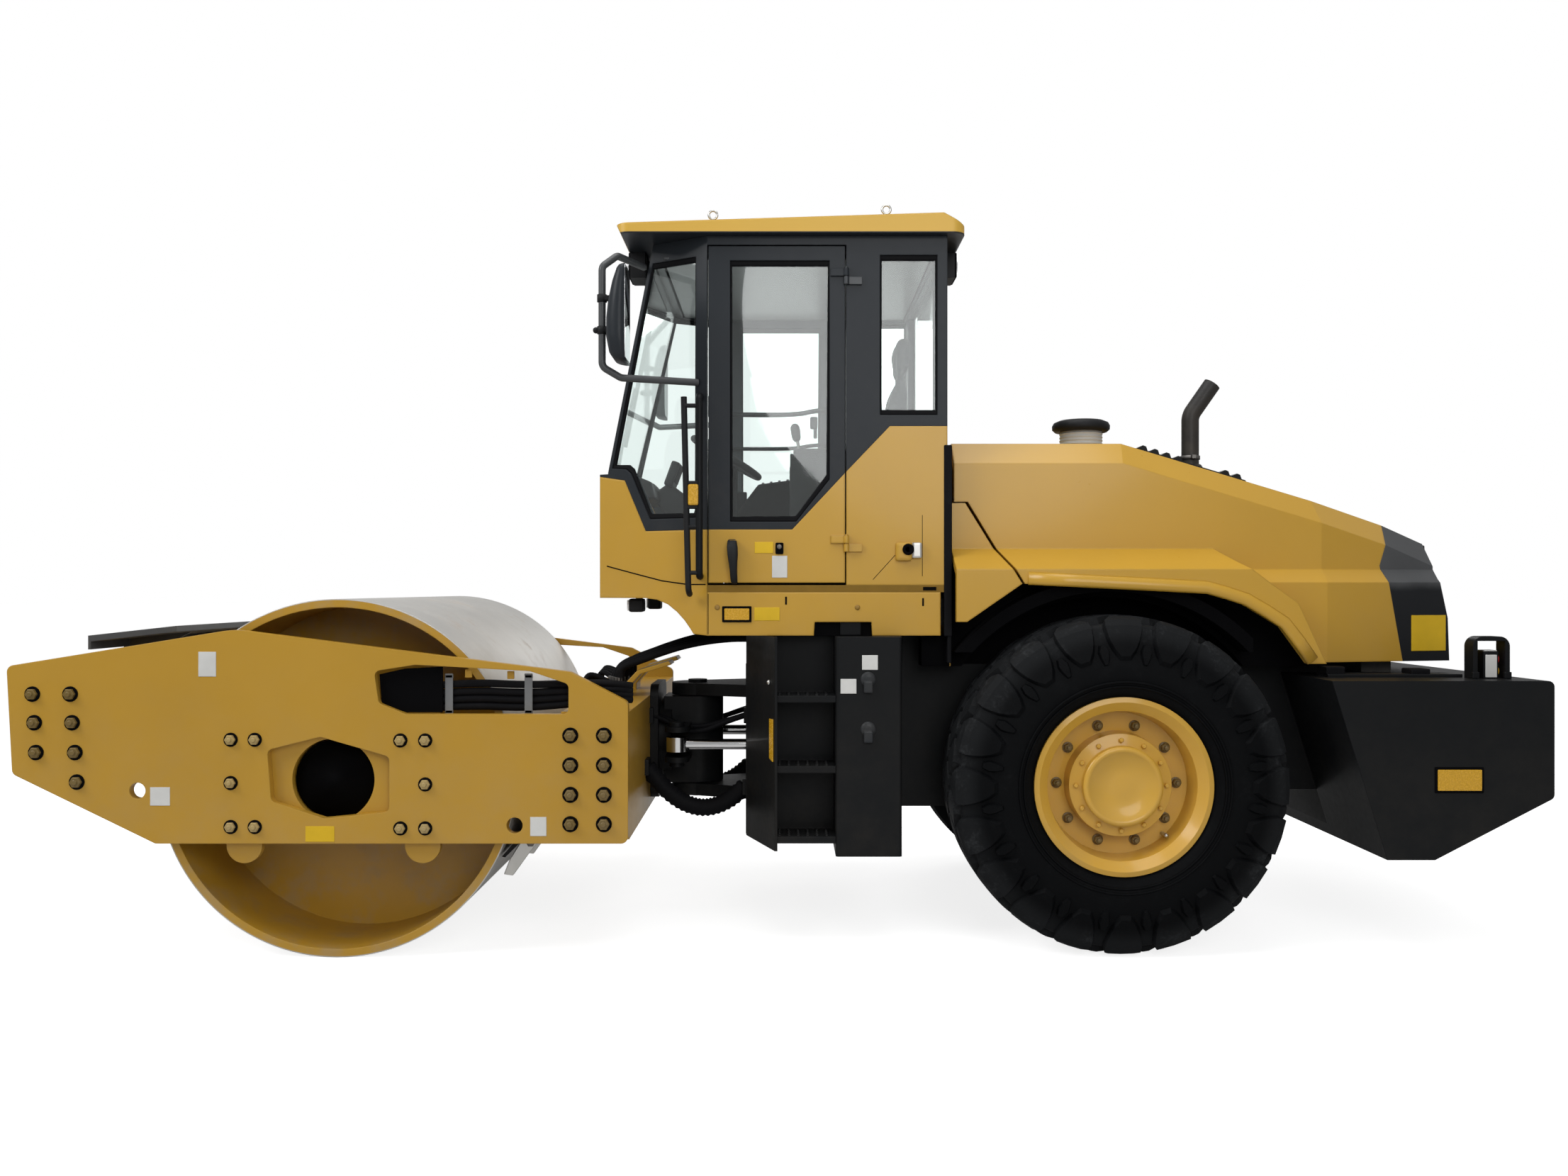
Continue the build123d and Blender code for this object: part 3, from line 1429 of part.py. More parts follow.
intake_x = -1440
intake_y = 330
intake_neck_radius = 100
intake_neck_height = 92
intake_cap_radius = 138
intake_cap_height = 55
with BuildPart() as intake_cap:
    with BuildSketch(Plane.XY.offset(hood_top_z)):
        with Locations((intake_x, intake_y)):
            Circle(intake_neck_radius)
    extrude(amount=intake_neck_height)
    with BuildSketch(Plane.XY.offset(hood_top_z + intake_neck_height)):
        with Locations((intake_x, intake_y)):
            Circle(intake_cap_radius)
    extrude(amount=intake_cap_height)
    fillet(intake_cap.edges().group_by(Axis.Z)[-1], intake_cap_height / 2)
save(intake_cap.part, "intake_cap")

# Tail lamps on the counterweight, each under a bent hoop
guard_front_x = tail_x + 275
guard_length = 161
guard_height = 185
guard_wall = 20
guard_width = 76
guard_y = 922
guard_corner = 44
lamp_body_length = 64
lamp_body_height = 120
with BuildPart() as tail_lamps:
    for side in (1, -1):
        with BuildSketch(side_plane(side * guard_y)) as hoop:
            with Locations((guard_front_x - guard_length / 2, tail_top_z + guard_height / 2)):
                Rectangle(guard_length, guard_height)
            fillet(hoop.vertices().group_by(Axis.Y)[-1], guard_corner)
            with Locations((guard_front_x - guard_length / 2, tail_top_z + (guard_height - guard_wall) / 2)):
                Rectangle(guard_length - 2 * guard_wall, guard_height - guard_wall, mode=Mode.SUBTRACT)
        extrude(amount=guard_width / 2, both=True)
        with Locations((guard_front_x - guard_length / 2, side * guard_y, tail_top_z + lamp_body_height / 2)):
            Box(lamp_body_length, guard_width - 10, lamp_body_height)
save(tail_lamps.part, "tail_lamps")
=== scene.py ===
"""Looks for a single-drum soil roller: paint, rubber, glass, seat, fittings and studio.

Everything is in metres in the part's own frame: +X forward, +Y to the machine's left, +Z up.
"""
import math

import bmesh
import bpy
from mathutils import Matrix, Vector
from mathutils.bvhtree import BVHTree


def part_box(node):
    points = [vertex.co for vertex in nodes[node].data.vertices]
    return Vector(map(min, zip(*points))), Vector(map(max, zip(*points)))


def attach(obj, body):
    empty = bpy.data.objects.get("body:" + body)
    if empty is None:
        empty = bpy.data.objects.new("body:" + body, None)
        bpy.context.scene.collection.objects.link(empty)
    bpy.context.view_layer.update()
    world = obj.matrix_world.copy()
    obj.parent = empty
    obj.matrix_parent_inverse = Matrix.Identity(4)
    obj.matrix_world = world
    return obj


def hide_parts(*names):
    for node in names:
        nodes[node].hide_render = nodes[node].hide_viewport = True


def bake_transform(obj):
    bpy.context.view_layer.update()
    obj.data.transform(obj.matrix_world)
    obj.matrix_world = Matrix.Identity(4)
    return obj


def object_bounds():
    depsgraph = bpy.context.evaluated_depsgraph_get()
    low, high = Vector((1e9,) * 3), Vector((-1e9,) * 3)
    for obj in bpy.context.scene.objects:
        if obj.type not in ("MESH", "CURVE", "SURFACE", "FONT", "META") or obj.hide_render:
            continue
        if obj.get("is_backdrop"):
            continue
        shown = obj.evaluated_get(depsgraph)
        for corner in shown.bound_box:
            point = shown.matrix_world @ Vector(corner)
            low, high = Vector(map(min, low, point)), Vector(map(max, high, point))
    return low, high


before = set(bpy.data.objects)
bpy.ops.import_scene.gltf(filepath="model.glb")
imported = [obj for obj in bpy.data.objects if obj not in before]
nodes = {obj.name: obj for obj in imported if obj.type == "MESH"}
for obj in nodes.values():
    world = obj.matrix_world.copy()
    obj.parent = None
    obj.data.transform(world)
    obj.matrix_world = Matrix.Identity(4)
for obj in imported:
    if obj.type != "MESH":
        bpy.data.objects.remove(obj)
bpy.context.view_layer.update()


# Shader maths

class Tone:
    """A number that varies over a surface: arithmetic on it adds Math nodes to its material."""

    def __init__(self, tree, socket):
        self.tree = tree
        self.socket = socket

    def math(self, operation, *others, swap=False):
        step = self.tree.nodes.new("ShaderNodeMath")
        step.operation = operation
        values = (others[0], self, *others[1:]) if swap else (self, *others)
        for port, value in zip(step.inputs, values):
            feed(self.tree, port, value)
        return Tone(self.tree, step.outputs[0])

    def __add__(self, other):
        return self.math("ADD", other)

    def __radd__(self, other):
        return self.math("ADD", other)

    def __sub__(self, other):
        return self.math("SUBTRACT", other)

    def __rsub__(self, other):
        return self.math("SUBTRACT", other, swap=True)

    def __mul__(self, other):
        return self.math("MULTIPLY", other)

    def __rmul__(self, other):
        return self.math("MULTIPLY", other)

    def __truediv__(self, other):
        return self.math("DIVIDE", other)

    def __pow__(self, other):
        return self.math("POWER", other)

    def clipped(self):
        return (self.math("MAXIMUM", 0.0)).math("MINIMUM", 1.0)

    def rise(self, low, high):
        """0 below low, 1 above high, a smooth ramp between."""
        step = self.tree.nodes.new("ShaderNodeMapRange")
        step.interpolation_type = "SMOOTHSTEP"
        feed(self.tree, step.inputs["Value"], self)
        step.inputs["From Min"].default_value = low
        step.inputs["From Max"].default_value = high
        return Tone(self.tree, step.outputs[0])


def feed(tree, port, value):
    """Link a Tone to a socket, or set a plain value on it."""
    if isinstance(value, Tone):
        tree.links.new(value.socket, port)
    elif isinstance(value, (tuple, list)) and len(value) == 3 and port.type == "RGBA":
        port.default_value = (*value, 1.0)
    else:
        port.default_value = value


class Finish:
    """One material under construction, with its Principled shader."""

    def __init__(self, name, colour, roughness=0.5, metallic=0.0, **constants):
        self.material = bpy.data.materials.new(name)
        self.material.use_nodes = True
        self.tree = self.material.node_tree
        self.tree.nodes.clear()
        self.end = self.tree.nodes.new("ShaderNodeOutputMaterial")
        self.shader = self.tree.nodes.new("ShaderNodeBsdfPrincipled")
        self.tree.links.new(self.shader.outputs[0], self.end.inputs["Surface"])
        self.put(**{"Base Color": colour, "Roughness": roughness, "Metallic": metallic, **constants})
        self.place = self.node("ShaderNodeTexCoord", out="Object")
        self.normal = None

    def node(self, kind, sockets=None, out=0, **settings):
        made = self.tree.nodes.new(kind)
        for key, value in settings.items():
            setattr(made, key, value)
        for key, value in (sockets or {}).items():
            feed(self.tree, made.inputs[key], value)
        return Tone(self.tree, made.outputs[out])

    def put(self, **sockets):
        for key, value in sockets.items():
            feed(self.tree, self.shader.inputs[key], value)

    def axis(self, name):
        return self.node("ShaderNodeSeparateXYZ", {0: self.place}, out=name)

    def stretched(self, scale, turn=(0, 0, 0), shift=(0, 0, 0)):
        return self.node("ShaderNodeMapping", {"Vector": self.place, "Scale": scale, "Rotation": turn,
                                               "Location": shift})

    def noise(self, scale, detail=3.0, roughness=0.55, where=None, distortion=0.0):
        sockets = {"Vector": where or self.place, "Scale": scale, "Detail": detail}
        sockets.update({"Roughness": roughness, "Distortion": distortion})
        return self.node("ShaderNodeTexNoise", sockets)

    def cells(self, scale, where=None, feature="F1", out="Distance"):
        return self.node("ShaderNodeTexVoronoi", {"Vector": where or self.place, "Scale": scale}, out=out,
                         feature=feature)

    def mix(self, factor, first, second, blend="MIX"):
        made = self.tree.nodes.new("ShaderNodeMix")
        made.data_type = "RGBA"
        made.blend_type = blend
        ports = [port for port in made.inputs if port.enabled]
        feed(self.tree, ports[0], factor)
        feed(self.tree, ports[1], first)
        feed(self.tree, ports[2], second)
        return Tone(self.tree, [port for port in made.outputs if port.enabled][0])

    def rounded(self, radius):
        """Soften hard edges in the shading."""
        self.normal = self.node("ShaderNodeBevel", {"Radius": radius}, samples=4)

    def bump(self, height, strength=0.3, distance=0.001):
        sockets = {"Height": height, "Strength": strength, "Distance": distance}
        if self.normal is not None:
            sockets["Normal"] = self.normal
        self.normal = self.node("ShaderNodeBump", sockets)

    def done(self):
        if self.normal is not None:
            self.put(Normal=self.normal)
        return self.material


DUST = (0.33, 0.27, 0.19)


def machine_paint(name, colour, roughness=0.36, coat=0.2, dust=0.2, edge=0.006, low=0.2, high=1.6, shine=0.3):
    """Sprayed machine enamel: faint cloudiness, orange peel, and dust that thickens towards the ground."""
    made = Finish(name, colour, roughness, **{"Coat Roughness": 0.12, "Specular IOR Level": shine})
    cloud = made.noise(1.7, 4.0)
    fine = made.noise(38.0, 3.0)
    height = made.axis("Z")
    dirt = (1 - height.rise(low, high)) * (made.noise(5.0, 6.0, 0.65) - 0.25).rise(0.05, 0.5)
    specks = made.noise(90.0, 2.0).rise(0.66, 0.74)
    amount = ((dirt * 0.8 + specks * 0.18 + 0.05) * dust).clipped()
    shade = made.mix(0.5, colour, tuple(c * 0.82 for c in colour))
    tint = made.mix(cloud, shade, tuple(min(1.0, c * 1.08) for c in colour))
    made.put(**{"Base Color": made.mix(amount, tint, DUST)})
    made.put(Roughness=(roughness + (fine - 0.5) * 0.12 + amount * 0.4).clipped())
    made.put(**{"Coat Weight": ((1 - amount * 1.6) * coat).clipped()})
    made.rounded(edge)
    made.bump(made.noise(420.0, 2.0) * 0.5 + fine * 0.5, 0.12, 0.0006)
    return made.done()


YELLOW = (0.47, 0.262, 0.024)
HOOD_YELLOW = (0.52, 0.296, 0.032)
CHARCOAL = (0.0068, 0.0076, 0.0086)

yellow_enamel = machine_paint("yellow_enamel", YELLOW)
hood_enamel = machine_paint("hood_enamel", HOOD_YELLOW, 0.3, 0.25, 0.14, 0.01, 0.6, 2.2)
cab_enamel = machine_paint("cab_enamel", HOOD_YELLOW, 0.32, 0.22, 0.14, 0.012, 0.9, 2.4)
charcoal_enamel = machine_paint("charcoal_enamel", CHARCOAL, 0.45, 0.04, 0.035, 0.006, 0.2, 1.5, 0.1)
cab_charcoal = machine_paint("cab_charcoal", (0.018, 0.022, 0.027), 0.42, 0.06, 0.06, 0.008, 1.0, 3.0, 0.15)


def moulded_plastic(name, colour, roughness=0.55, grain=420.0, shine=0.2):
    made = Finish(name, colour, roughness, **{"Specular IOR Level": shine})
    tone = made.noise(6.0, 4.0)
    made.put(**{"Base Color": made.mix(tone, tuple(c * 0.8 for c in colour),
                                       tuple(c * 1.25 for c in colour))})
    made.put(Roughness=(roughness + (tone - 0.5) * 0.2).clipped())
    made.rounded(0.004)
    made.bump(made.cells(grain), 0.18, 0.0004)
    return made.done()


black_plastic = moulded_plastic("black_plastic", (0.009, 0.0095, 0.0105))
grey_plastic = moulded_plastic("grey_plastic", (0.17, 0.175, 0.18), 0.5)


def bare_metal(name, colour, roughness, streak=(6.0, 160.0, 6.0)):
    made = Finish(name, colour, roughness, 1.0)
    lines = made.noise(1.0, 5.0, 0.6, made.stretched(streak))
    cloud = made.noise(7.0, 4.0)
    made.put(**{"Base Color": made.mix(cloud * 0.6 + lines * 0.4, tuple(c * 0.7 for c in colour), colour)})
    made.put(Roughness=(roughness + (lines - 0.5) * 0.25).clipped())
    made.rounded(0.002)
    made.bump(lines, 0.15, 0.0004)
    return made.done()


bright_steel = bare_metal("bright_steel", (0.62, 0.61, 0.58), 0.32)
dull_steel = bare_metal("dull_steel", (0.2, 0.19, 0.18), 0.5)
chrome = bare_metal("chrome", (0.8, 0.8, 0.8), 0.08)


def drum_steel():
    """Rolled steel, bright and scuffed where it meets the ground, painted at the ends and in the recesses."""
    made = Finish("drum_steel", (0.6, 0.59, 0.57), 0.42)
    across = made.axis("X") - DRUM_X
    up = made.axis("Z") - DRUM_R
    radius = (across * across + up * up) ** 0.5
    tread = radius.rise(DRUM_R - 0.006, DRUM_R - 0.003)
    lines = made.noise(1.0, 6.0, 0.7, made.stretched((2.0, 220.0, 2.0)))
    patches = made.noise(3.2, 6.0, 0.6)
    rust = (made.noise(11.0, 7.0, 0.7) * patches).rise(0.27, 0.42)
    steel = made.mix(lines * 0.5 + patches * 0.5, (0.42, 0.41, 0.39), (0.72, 0.71, 0.68))
    steel = made.mix(rust * 0.35, steel, (0.27, 0.17, 0.09))
    dirt = made.noise(6.0, 6.0, 0.65).rise(0.46, 0.7)
    paint = made.mix(dirt * 0.35, YELLOW, DUST)
    made.put(**{"Base Color": made.mix(tread, paint, steel)})
    made.put(Metallic=tread * (1 - rust) * 0.55)
    made.put(Roughness=(0.36 + tread * 0.06 + (lines - 0.5) * 0.2 + dirt * 0.1).clipped())
    made.rounded(0.006)
    made.bump(lines * 0.6 + patches * 0.4, 0.2, 0.0008)
    return made.done()


DRUM_X, DRUM_R = 1.92, 0.77
drum_surface = drum_steel()


TYRE_X, TYRE_Y, TYRE_R = -1.455, 0.86, 0.735


def tyre_rubber(name, colour=(0.0022, 0.0025, 0.003), lug_sheen=0.0):
    """Black rubber; a tyre's shoulder lugs carry a painted blue-grey highlight that the sidewall lacks."""
    made = Finish(name, colour, 0.72, **{"Specular IOR Level": 0.06})
    cloud = made.noise(9.0, 5.0, 0.6)
    grit = made.noise(70.0, 4.0, 0.7)
    dust = (cloud * 0.6 + grit * 0.4).rise(0.5, 0.78)
    across, up = made.axis("X") - TYRE_X, made.axis("Z") - TYRE_R
    # Painted highlight: the shoulder lugs are lightened to blue-grey, broken up by the dust noise.
    lugs = ((across * across + up * up) ** 0.5).rise(0.60, 0.68) * lug_sheen
    made.put(**{"Base Color": made.mix(dust * 0.05 + lugs * (0.35 + dust), colour, (0.085, 0.09, 0.095))})
    made.put(Roughness=(0.6 + (grit - 0.5) * 0.3).clipped())
    made.bump(grit * 0.6 + made.noise(240.0, 2.0) * 0.4, 0.25, 0.0012)
    return made.done()


tyre_black = tyre_rubber("tyre_black", lug_sheen=0.28)
hose_rubber = tyre_rubber("hose_rubber", (0.006, 0.006, 0.007))


def clear_glass(name, tint, roughness=0.015):
    """Toughened glass that lets the light into the cab."""
    made = Finish(name, tint, roughness, **{"Transmission Weight": 1.0, "IOR": 1.46})
    smear = made.noise(4.0, 5.0, 0.6).rise(0.52, 0.8)
    made.put(Roughness=(smear * 0.05 + roughness).clipped())
    ray = made.node("ShaderNodeLightPath", out="Is Shadow Ray")
    through = made.node("ShaderNodeBsdfTransparent", {"Color": tint})
    joined = made.node("ShaderNodeMixShader", {0: ray, 1: Tone(made.tree, made.shader.outputs[0]),
                                               2: through})
    made.tree.links.new(joined.socket, made.end.inputs["Surface"])
    return made.done()


window_glass = clear_glass("window_glass", (0.93, 0.985, 0.97))


def woven_seat(name, colour):
    made = Finish(name, colour, 0.85, **{"Sheen Weight": 0.35, "Sheen Roughness": 0.4})
    turn = made.stretched((1.0, 1.0, 1.0), (0.0, 0.0, 0.785))
    weave = made.node("ShaderNodeTexWave", {"Vector": turn, "Scale": 260.0, "Distortion": 1.2},
                      bands_direction="X")
    cross = made.node("ShaderNodeTexWave", {"Vector": turn, "Scale": 260.0, "Distortion": 1.2},
                      bands_direction="Z")
    cloth = weave * 0.5 + cross * 0.5
    worn = made.noise(8.0, 5.0)
    dark, pale = tuple(c * 0.6 for c in colour), tuple(c * 1.7 for c in colour)
    made.put(**{"Base Color": made.mix(cloth * 0.6 + worn * 0.4, dark, pale)})
    made.put(Roughness=(0.78 + (worn - 0.5) * 0.2).clipped())
    made.bump(cloth, 0.35, 0.0007)
    return made.done()


seat_cloth = woven_seat("seat_cloth", (0.028, 0.029, 0.032))


def lens(name, colour, roughness=0.12):
    """Moulded lamp or reflector plastic with its prism grid."""
    made = Finish(name, colour, roughness, **{"Coat Weight": 0.25, "Coat Roughness": 0.05,
                                              "Specular IOR Level": 0.4})
    grid = made.cells(150.0)
    made.put(**{"Base Color": made.mix(grid, colour, tuple(min(1.0, c * 1.35 + 0.01) for c in colour))})
    made.put(Roughness=(roughness + grid * 0.12).clipped())
    made.bump(grid, 0.4, 0.0012)
    return made.done()


amber_lens = lens("amber_lens", (0.50, 0.270, 0.010), 0.2)
red_lens = lens("red_lens", (0.42, 0.012, 0.01))
clear_lens = lens("clear_lens", (0.72, 0.74, 0.76), 0.06)
label_white = moulded_plastic("label_white", (0.62, 0.62, 0.6), 0.4, 900.0)
label_yellow = moulded_plastic("label_yellow", (0.66, 0.42, 0.02), 0.38, 900.0)
intake_grey = moulded_plastic("intake_grey", (0.56, 0.56, 0.54), 0.45, 700.0)
shade_black = moulded_plastic("shade_black", (0.003, 0.003, 0.0035), 0.8, 300.0, 0.03)
mirror_silver = bare_metal("mirror_silver", (0.82, 0.84, 0.85), 0.03, (1.0, 1.0, 1.0))
exhaust_black = machine_paint("exhaust_black", (0.016, 0.016, 0.017), 0.55, 0.05, 0.25, 0.002, 1.5, 3.0)
engine_grey = machine_paint("engine_grey", (0.10, 0.10, 0.10), 0.5, 0.1, 0.5, 0.006, 0.8, 1.6)
arm_grey = machine_paint("arm_grey", (0.060, 0.064, 0.068), 0.4, 0.1, 0.1, 0.004, 1.0, 3.0)
# Yellow enamel darkened as painted shade.
ledge_yellow = machine_paint("ledge_yellow", (0.30, 0.165, 0.016), 0.42, 0.1, 0.3, 0.006, 1.0, 2.4)


def hinge_paint():
    """Door hinges in the colour of what they sit on: yellow below the waist, dark above."""
    made = Finish("hinge_paint", HOOD_YELLOW, 0.36)
    above = made.axis("Z").rise(2.19, 2.21)
    cloud = made.noise(12.0, 4.0)
    below = made.mix(cloud, tuple(c * 0.85 for c in HOOD_YELLOW), HOOD_YELLOW)
    made.put(**{"Base Color": made.mix(above, below, (0.018, 0.022, 0.027))})
    made.put(Roughness=(0.3 + cloud * 0.12).clipped())
    made.rounded(0.004)
    return made.done()


two_tone = hinge_paint()


def floor_paint():
    """The cab floor: dark inside, with a yellow edge below the doors darkened as painted shade."""
    made = Finish("floor_edge", CHARCOAL, 0.5, **{"Specular IOR Level": 0.15})
    across = made.axis("Y")
    edge = (across * across).rise(0.775 ** 2, 0.785 ** 2)
    cloud = made.noise(14.0, 5.0)
    # Painted shade: the yellow of the edge is darkened for the recess under the doors.
    yellow = made.mix(cloud, (0.17, 0.095, 0.012), (0.25, 0.14, 0.018))
    made.put(**{"Base Color": made.mix(edge, CHARCOAL, yellow)})
    made.put(Roughness=(0.45 + cloud * 0.15).clipped())
    made.rounded(0.004)
    return made.done()


floor_edge = floor_paint()


def tail_plastic():
    """The hood's tail cap: black below, with a painted grey sky reflection on the upper slopes."""
    made = Finish("tail_plastic", (0.02, 0.021, 0.023), 0.5, **{"Specular IOR Level": 0.2})
    cloud = made.noise(6.0, 4.0)
    # Painted reflection: the upper slopes are lightened to grey by height, standing in for sky seen in the upward
    # facets.
    high = (made.axis("Z") + cloud * 0.03).rise(1.585, 1.64)
    low_black = made.mix(cloud, (0.007, 0.008, 0.010), (0.011, 0.012, 0.014))
    reflected_grey = made.mix(cloud, (0.062, 0.064, 0.067), (0.085, 0.087, 0.09))
    made.put(**{"Base Color": made.mix(high, low_black, reflected_grey)})
    made.put(Roughness=(0.45 + cloud * 0.15).clipped())
    made.rounded(0.006)
    made.bump(made.cells(420.0), 0.18, 0.0004)
    return made.done()


tail_grey = tail_plastic()


def roof_paint():
    """The cab roof: enamel lightened on top as painted light from above, charcoal on the underside of the
    overhang.
    """
    made = Finish("roof_enamel", HOOD_YELLOW, 0.34, **{"Specular IOR Level": 0.3})
    above = made.axis("Z").rise(3.175, 3.180)
    cloud = made.noise(1.7, 4.0)
    # Painted highlight: the top is a lighter yellow than the cab's paint, for light falling from above.
    bright = made.mix(cloud, (0.60, 0.36, 0.055), (0.68, 0.42, 0.07))
    made.put(**{"Base Color": made.mix(above, (0.018, 0.022, 0.027), bright)})
    made.put(Roughness=(0.3 + cloud * 0.12).clipped())
    made.rounded(0.012)
    made.bump(made.noise(420.0, 2.0), 0.1, 0.0006)
    return made.done()


roof_enamel = roof_paint()
# Yellow bolt paint darkened to brown as painted shade, on bolts in recesses and on wheel nuts in the rim's dish.
bolt_brown = machine_paint("bolt_brown", (0.15, 0.098, 0.022), 0.45, 0.1, 0.3, 0.002)
bolt_pale = machine_paint("bolt_pale", (0.40, 0.29, 0.11), 0.45, 0.1, 0.3, 0.002)
rim_enamel = machine_paint("rim_enamel", (0.64, 0.36, 0.04), 0.34, 0.4, 0.3, 0.004, 0.0, 1.2)

finish_of = {
    yellow_enamel: "side_plates front_beam rear_beam drum_carriers",
    charcoal_enamel: "rear_scraper centre_yoke rear_frame rear_axle steps side_tanks "
    "counterweight seat_base handrails tail_lamps steer_barrel_left steer_barrel_right",
    cab_enamel: "cab_sills cab_front_panel cab_rear_panels door_left_panel door_right_panel",
    roof_enamel: "cab_roof",
    hood_enamel: "fender_panels hood_shell",
    cab_charcoal: "cab_frame door_left_frame door_right_frame",
    black_plastic: "steering_console steering_wheel work_lamps hood_cowl intake_cap",
    tail_grey: "hood_tail",
    engine_grey: "engine_block radiator",
    window_glass: "windscreen rear_window side_windows door_left_glass door_right_glass",
    seat_cloth: "seat_cushion seat_back",
    grey_plastic: "mirrors",
    arm_grey: "mirror_arms front_cover",
    floor_edge: "cab_floor",
    two_tone: "door_hinges",
    shade_black: "arch_liners",
    exhaust_black: "exhaust_pipe",
    chrome: "steer_rod_left steer_rod_right",
    tyre_black: "tyre_left tyre_right",
    rim_enamel: "wheel_left wheel_right",
    drum_surface: "drum",
}
for finish, names in finish_of.items():
    for name in names.split():
        mesh = nodes[name].data
        mesh.materials.clear()
        mesh.materials.append(finish)


# Making pieces

class Maker:
    """Collects the shapes of one piece in a mesh, each with its own finish."""

    def __init__(self):
        self.mesh = bmesh.new()
        self.finishes = []

    def _paint(self, faces, finish, smooth):
        if finish not in self.finishes:
            self.finishes.append(finish)
        for face in faces:
            face.material_index = self.finishes.index(finish)
            face.smooth = smooth

    def _bevel(self, faces, width, segments=2):
        if not width:
            return faces
        others = set(self.mesh.faces) - set(faces)
        edges = {edge for face in faces for edge in face.edges}
        sharp = [e for e in edges if len(e.link_faces) == 2 and e.calc_face_angle() > 0.5]
        bmesh.ops.bevel(self.mesh, geom=sharp, offset=width, segments=segments, affect="EDGES", profile=0.6,
                        clamp_overlap=True)
        return [face for face in self.mesh.faces if face not in others]

    def solid(self, rings, finish, smooth=False, bevel=0.0, loop=False):
        """Skin a row of equal rings of points into a closed form, with end caps or as a loop."""
        rows = [[self.mesh.verts.new(p) for p in ring] for ring in rings]
        count = len(rows[0])
        faces = []
        for a, b in zip(rows, rows[1:] + rows[:1] if loop else rows[1:]):
            for i in range(count):
                j = (i + 1) % count
                faces.append(self.mesh.faces.new((a[i], a[j], b[j], b[i])))
        if not loop:
            faces.append(self.mesh.faces.new(rows[0][::-1]))
            faces.append(self.mesh.faces.new(rows[-1]))
        bmesh.ops.recalc_face_normals(self.mesh, faces=faces)
        faces = self._bevel(faces, bevel)
        self._paint(faces, finish, smooth)

    def block(self, middle, size, finish, bevel=0.004, turn=None):
        """A box with softened edges."""
        spots = [(-1, -1), (1, -1), (1, 1), (-1, 1)]
        rings = [[Vector((x * size[0], y * size[1], z * size[2])) / 2 for x, y in spots] for z in (-1, 1)]
        spin = turn or Matrix.Identity(3)
        rings = [[Vector(middle) + spin @ p for p in ring] for ring in rings]
        self.solid(rings, finish, bevel=bevel)

    def slab(self, outline, y_from, y_to, finish, bevel=0.003):
        """A plate cut to an outline in the side view, between two widths."""
        rings = [[Vector((x, y, z)) for x, z in outline] for y in (y_from, y_to)]
        self.solid(rings, finish, bevel=bevel)

    def turned(self, profile, middle, axis, finish, steps=32, smooth=True, loop=False):
        """A round form: (radius, height) pairs turned about an axis."""
        spin = Vector((0, 0, 1)).rotation_difference(Vector(axis)).to_matrix()
        rings = []
        for radius, height in profile:
            ring = []
            for step in range(steps):
                angle = 2 * math.pi * step / steps
                spot = Vector((radius * math.cos(angle), radius * math.sin(angle), height))
                ring.append(Vector(middle) + spin @ spot)
            rings.append(ring)
        self.solid(rings, finish, smooth=smooth, loop=loop)

    def tube(self, points, radius, finish, order=3, sides=12, steps=10, straight=False):
        """A round bar or hose that follows points on a smooth line."""
        data = bpy.data.curves.new("route", "CURVE")
        data.dimensions = "3D"
        line = data.splines.new("POLY" if straight else "NURBS")
        line.points.add(len(points) - 1)
        for spot, point in zip(line.points, points):
            spot.co = (*point, 1.0)
        if not straight:
            line.order_u = order
            line.use_endpoint_u = True
        data.resolution_u = steps
        data.bevel_depth = radius
        data.bevel_resolution = max(1, sides // 4)
        data.use_fill_caps = True
        self._take(data, finish)

    def _take(self, data, finish):
        carrier = bpy.data.objects.new("carrier", data)
        bpy.context.scene.collection.objects.link(carrier)
        graph = bpy.context.evaluated_depsgraph_get()
        mesh = bpy.data.meshes.new_from_object(carrier.evaluated_get(graph))
        self.take(mesh, finish)
        bpy.data.objects.remove(carrier)
        bpy.data.meshes.remove(mesh)

    def take(self, mesh, finish, smooth=True):
        before = set(self.mesh.faces)
        self.mesh.from_mesh(mesh)
        fresh = [face for face in self.mesh.faces if face not in before]
        bmesh.ops.recalc_face_normals(self.mesh, faces=fresh)
        self._paint(fresh, finish, smooth)

    def mirrored(self):
        """Repeat everything so far on the machine's other side."""
        copy = bmesh.ops.duplicate(self.mesh,
                                   geom=self.mesh.verts[:] + self.mesh.edges[:] + self.mesh.faces[:])
        fresh = [item for item in copy["geom"] if isinstance(item, bmesh.types.BMVert)]
        bmesh.ops.scale(self.mesh, verts=fresh, vec=(1.0, -1.0, 1.0))
        faces = [item for item in copy["geom"] if isinstance(item, bmesh.types.BMFace)]
        bmesh.ops.reverse_faces(self.mesh, faces=faces)

    def done(self, name, body, slot, replaces=()):
        data = bpy.data.meshes.new(name)
        self.mesh.to_mesh(data)
        self.mesh.free()
        for finish in self.finishes:
            data.materials.append(finish)
        return settle(name, data, body, replaces)


def settle(name, data, body, replaces=()):
    """Put a finished mesh in the scene, on its body unless it crosses a joint."""
    piece = bpy.data.objects.new(name, data)
    bpy.context.scene.collection.objects.link(piece)
    if body:
        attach(piece, body)
    if replaces:
        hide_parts(*replaces)
    return piece


# Repeats, by Geometry Nodes

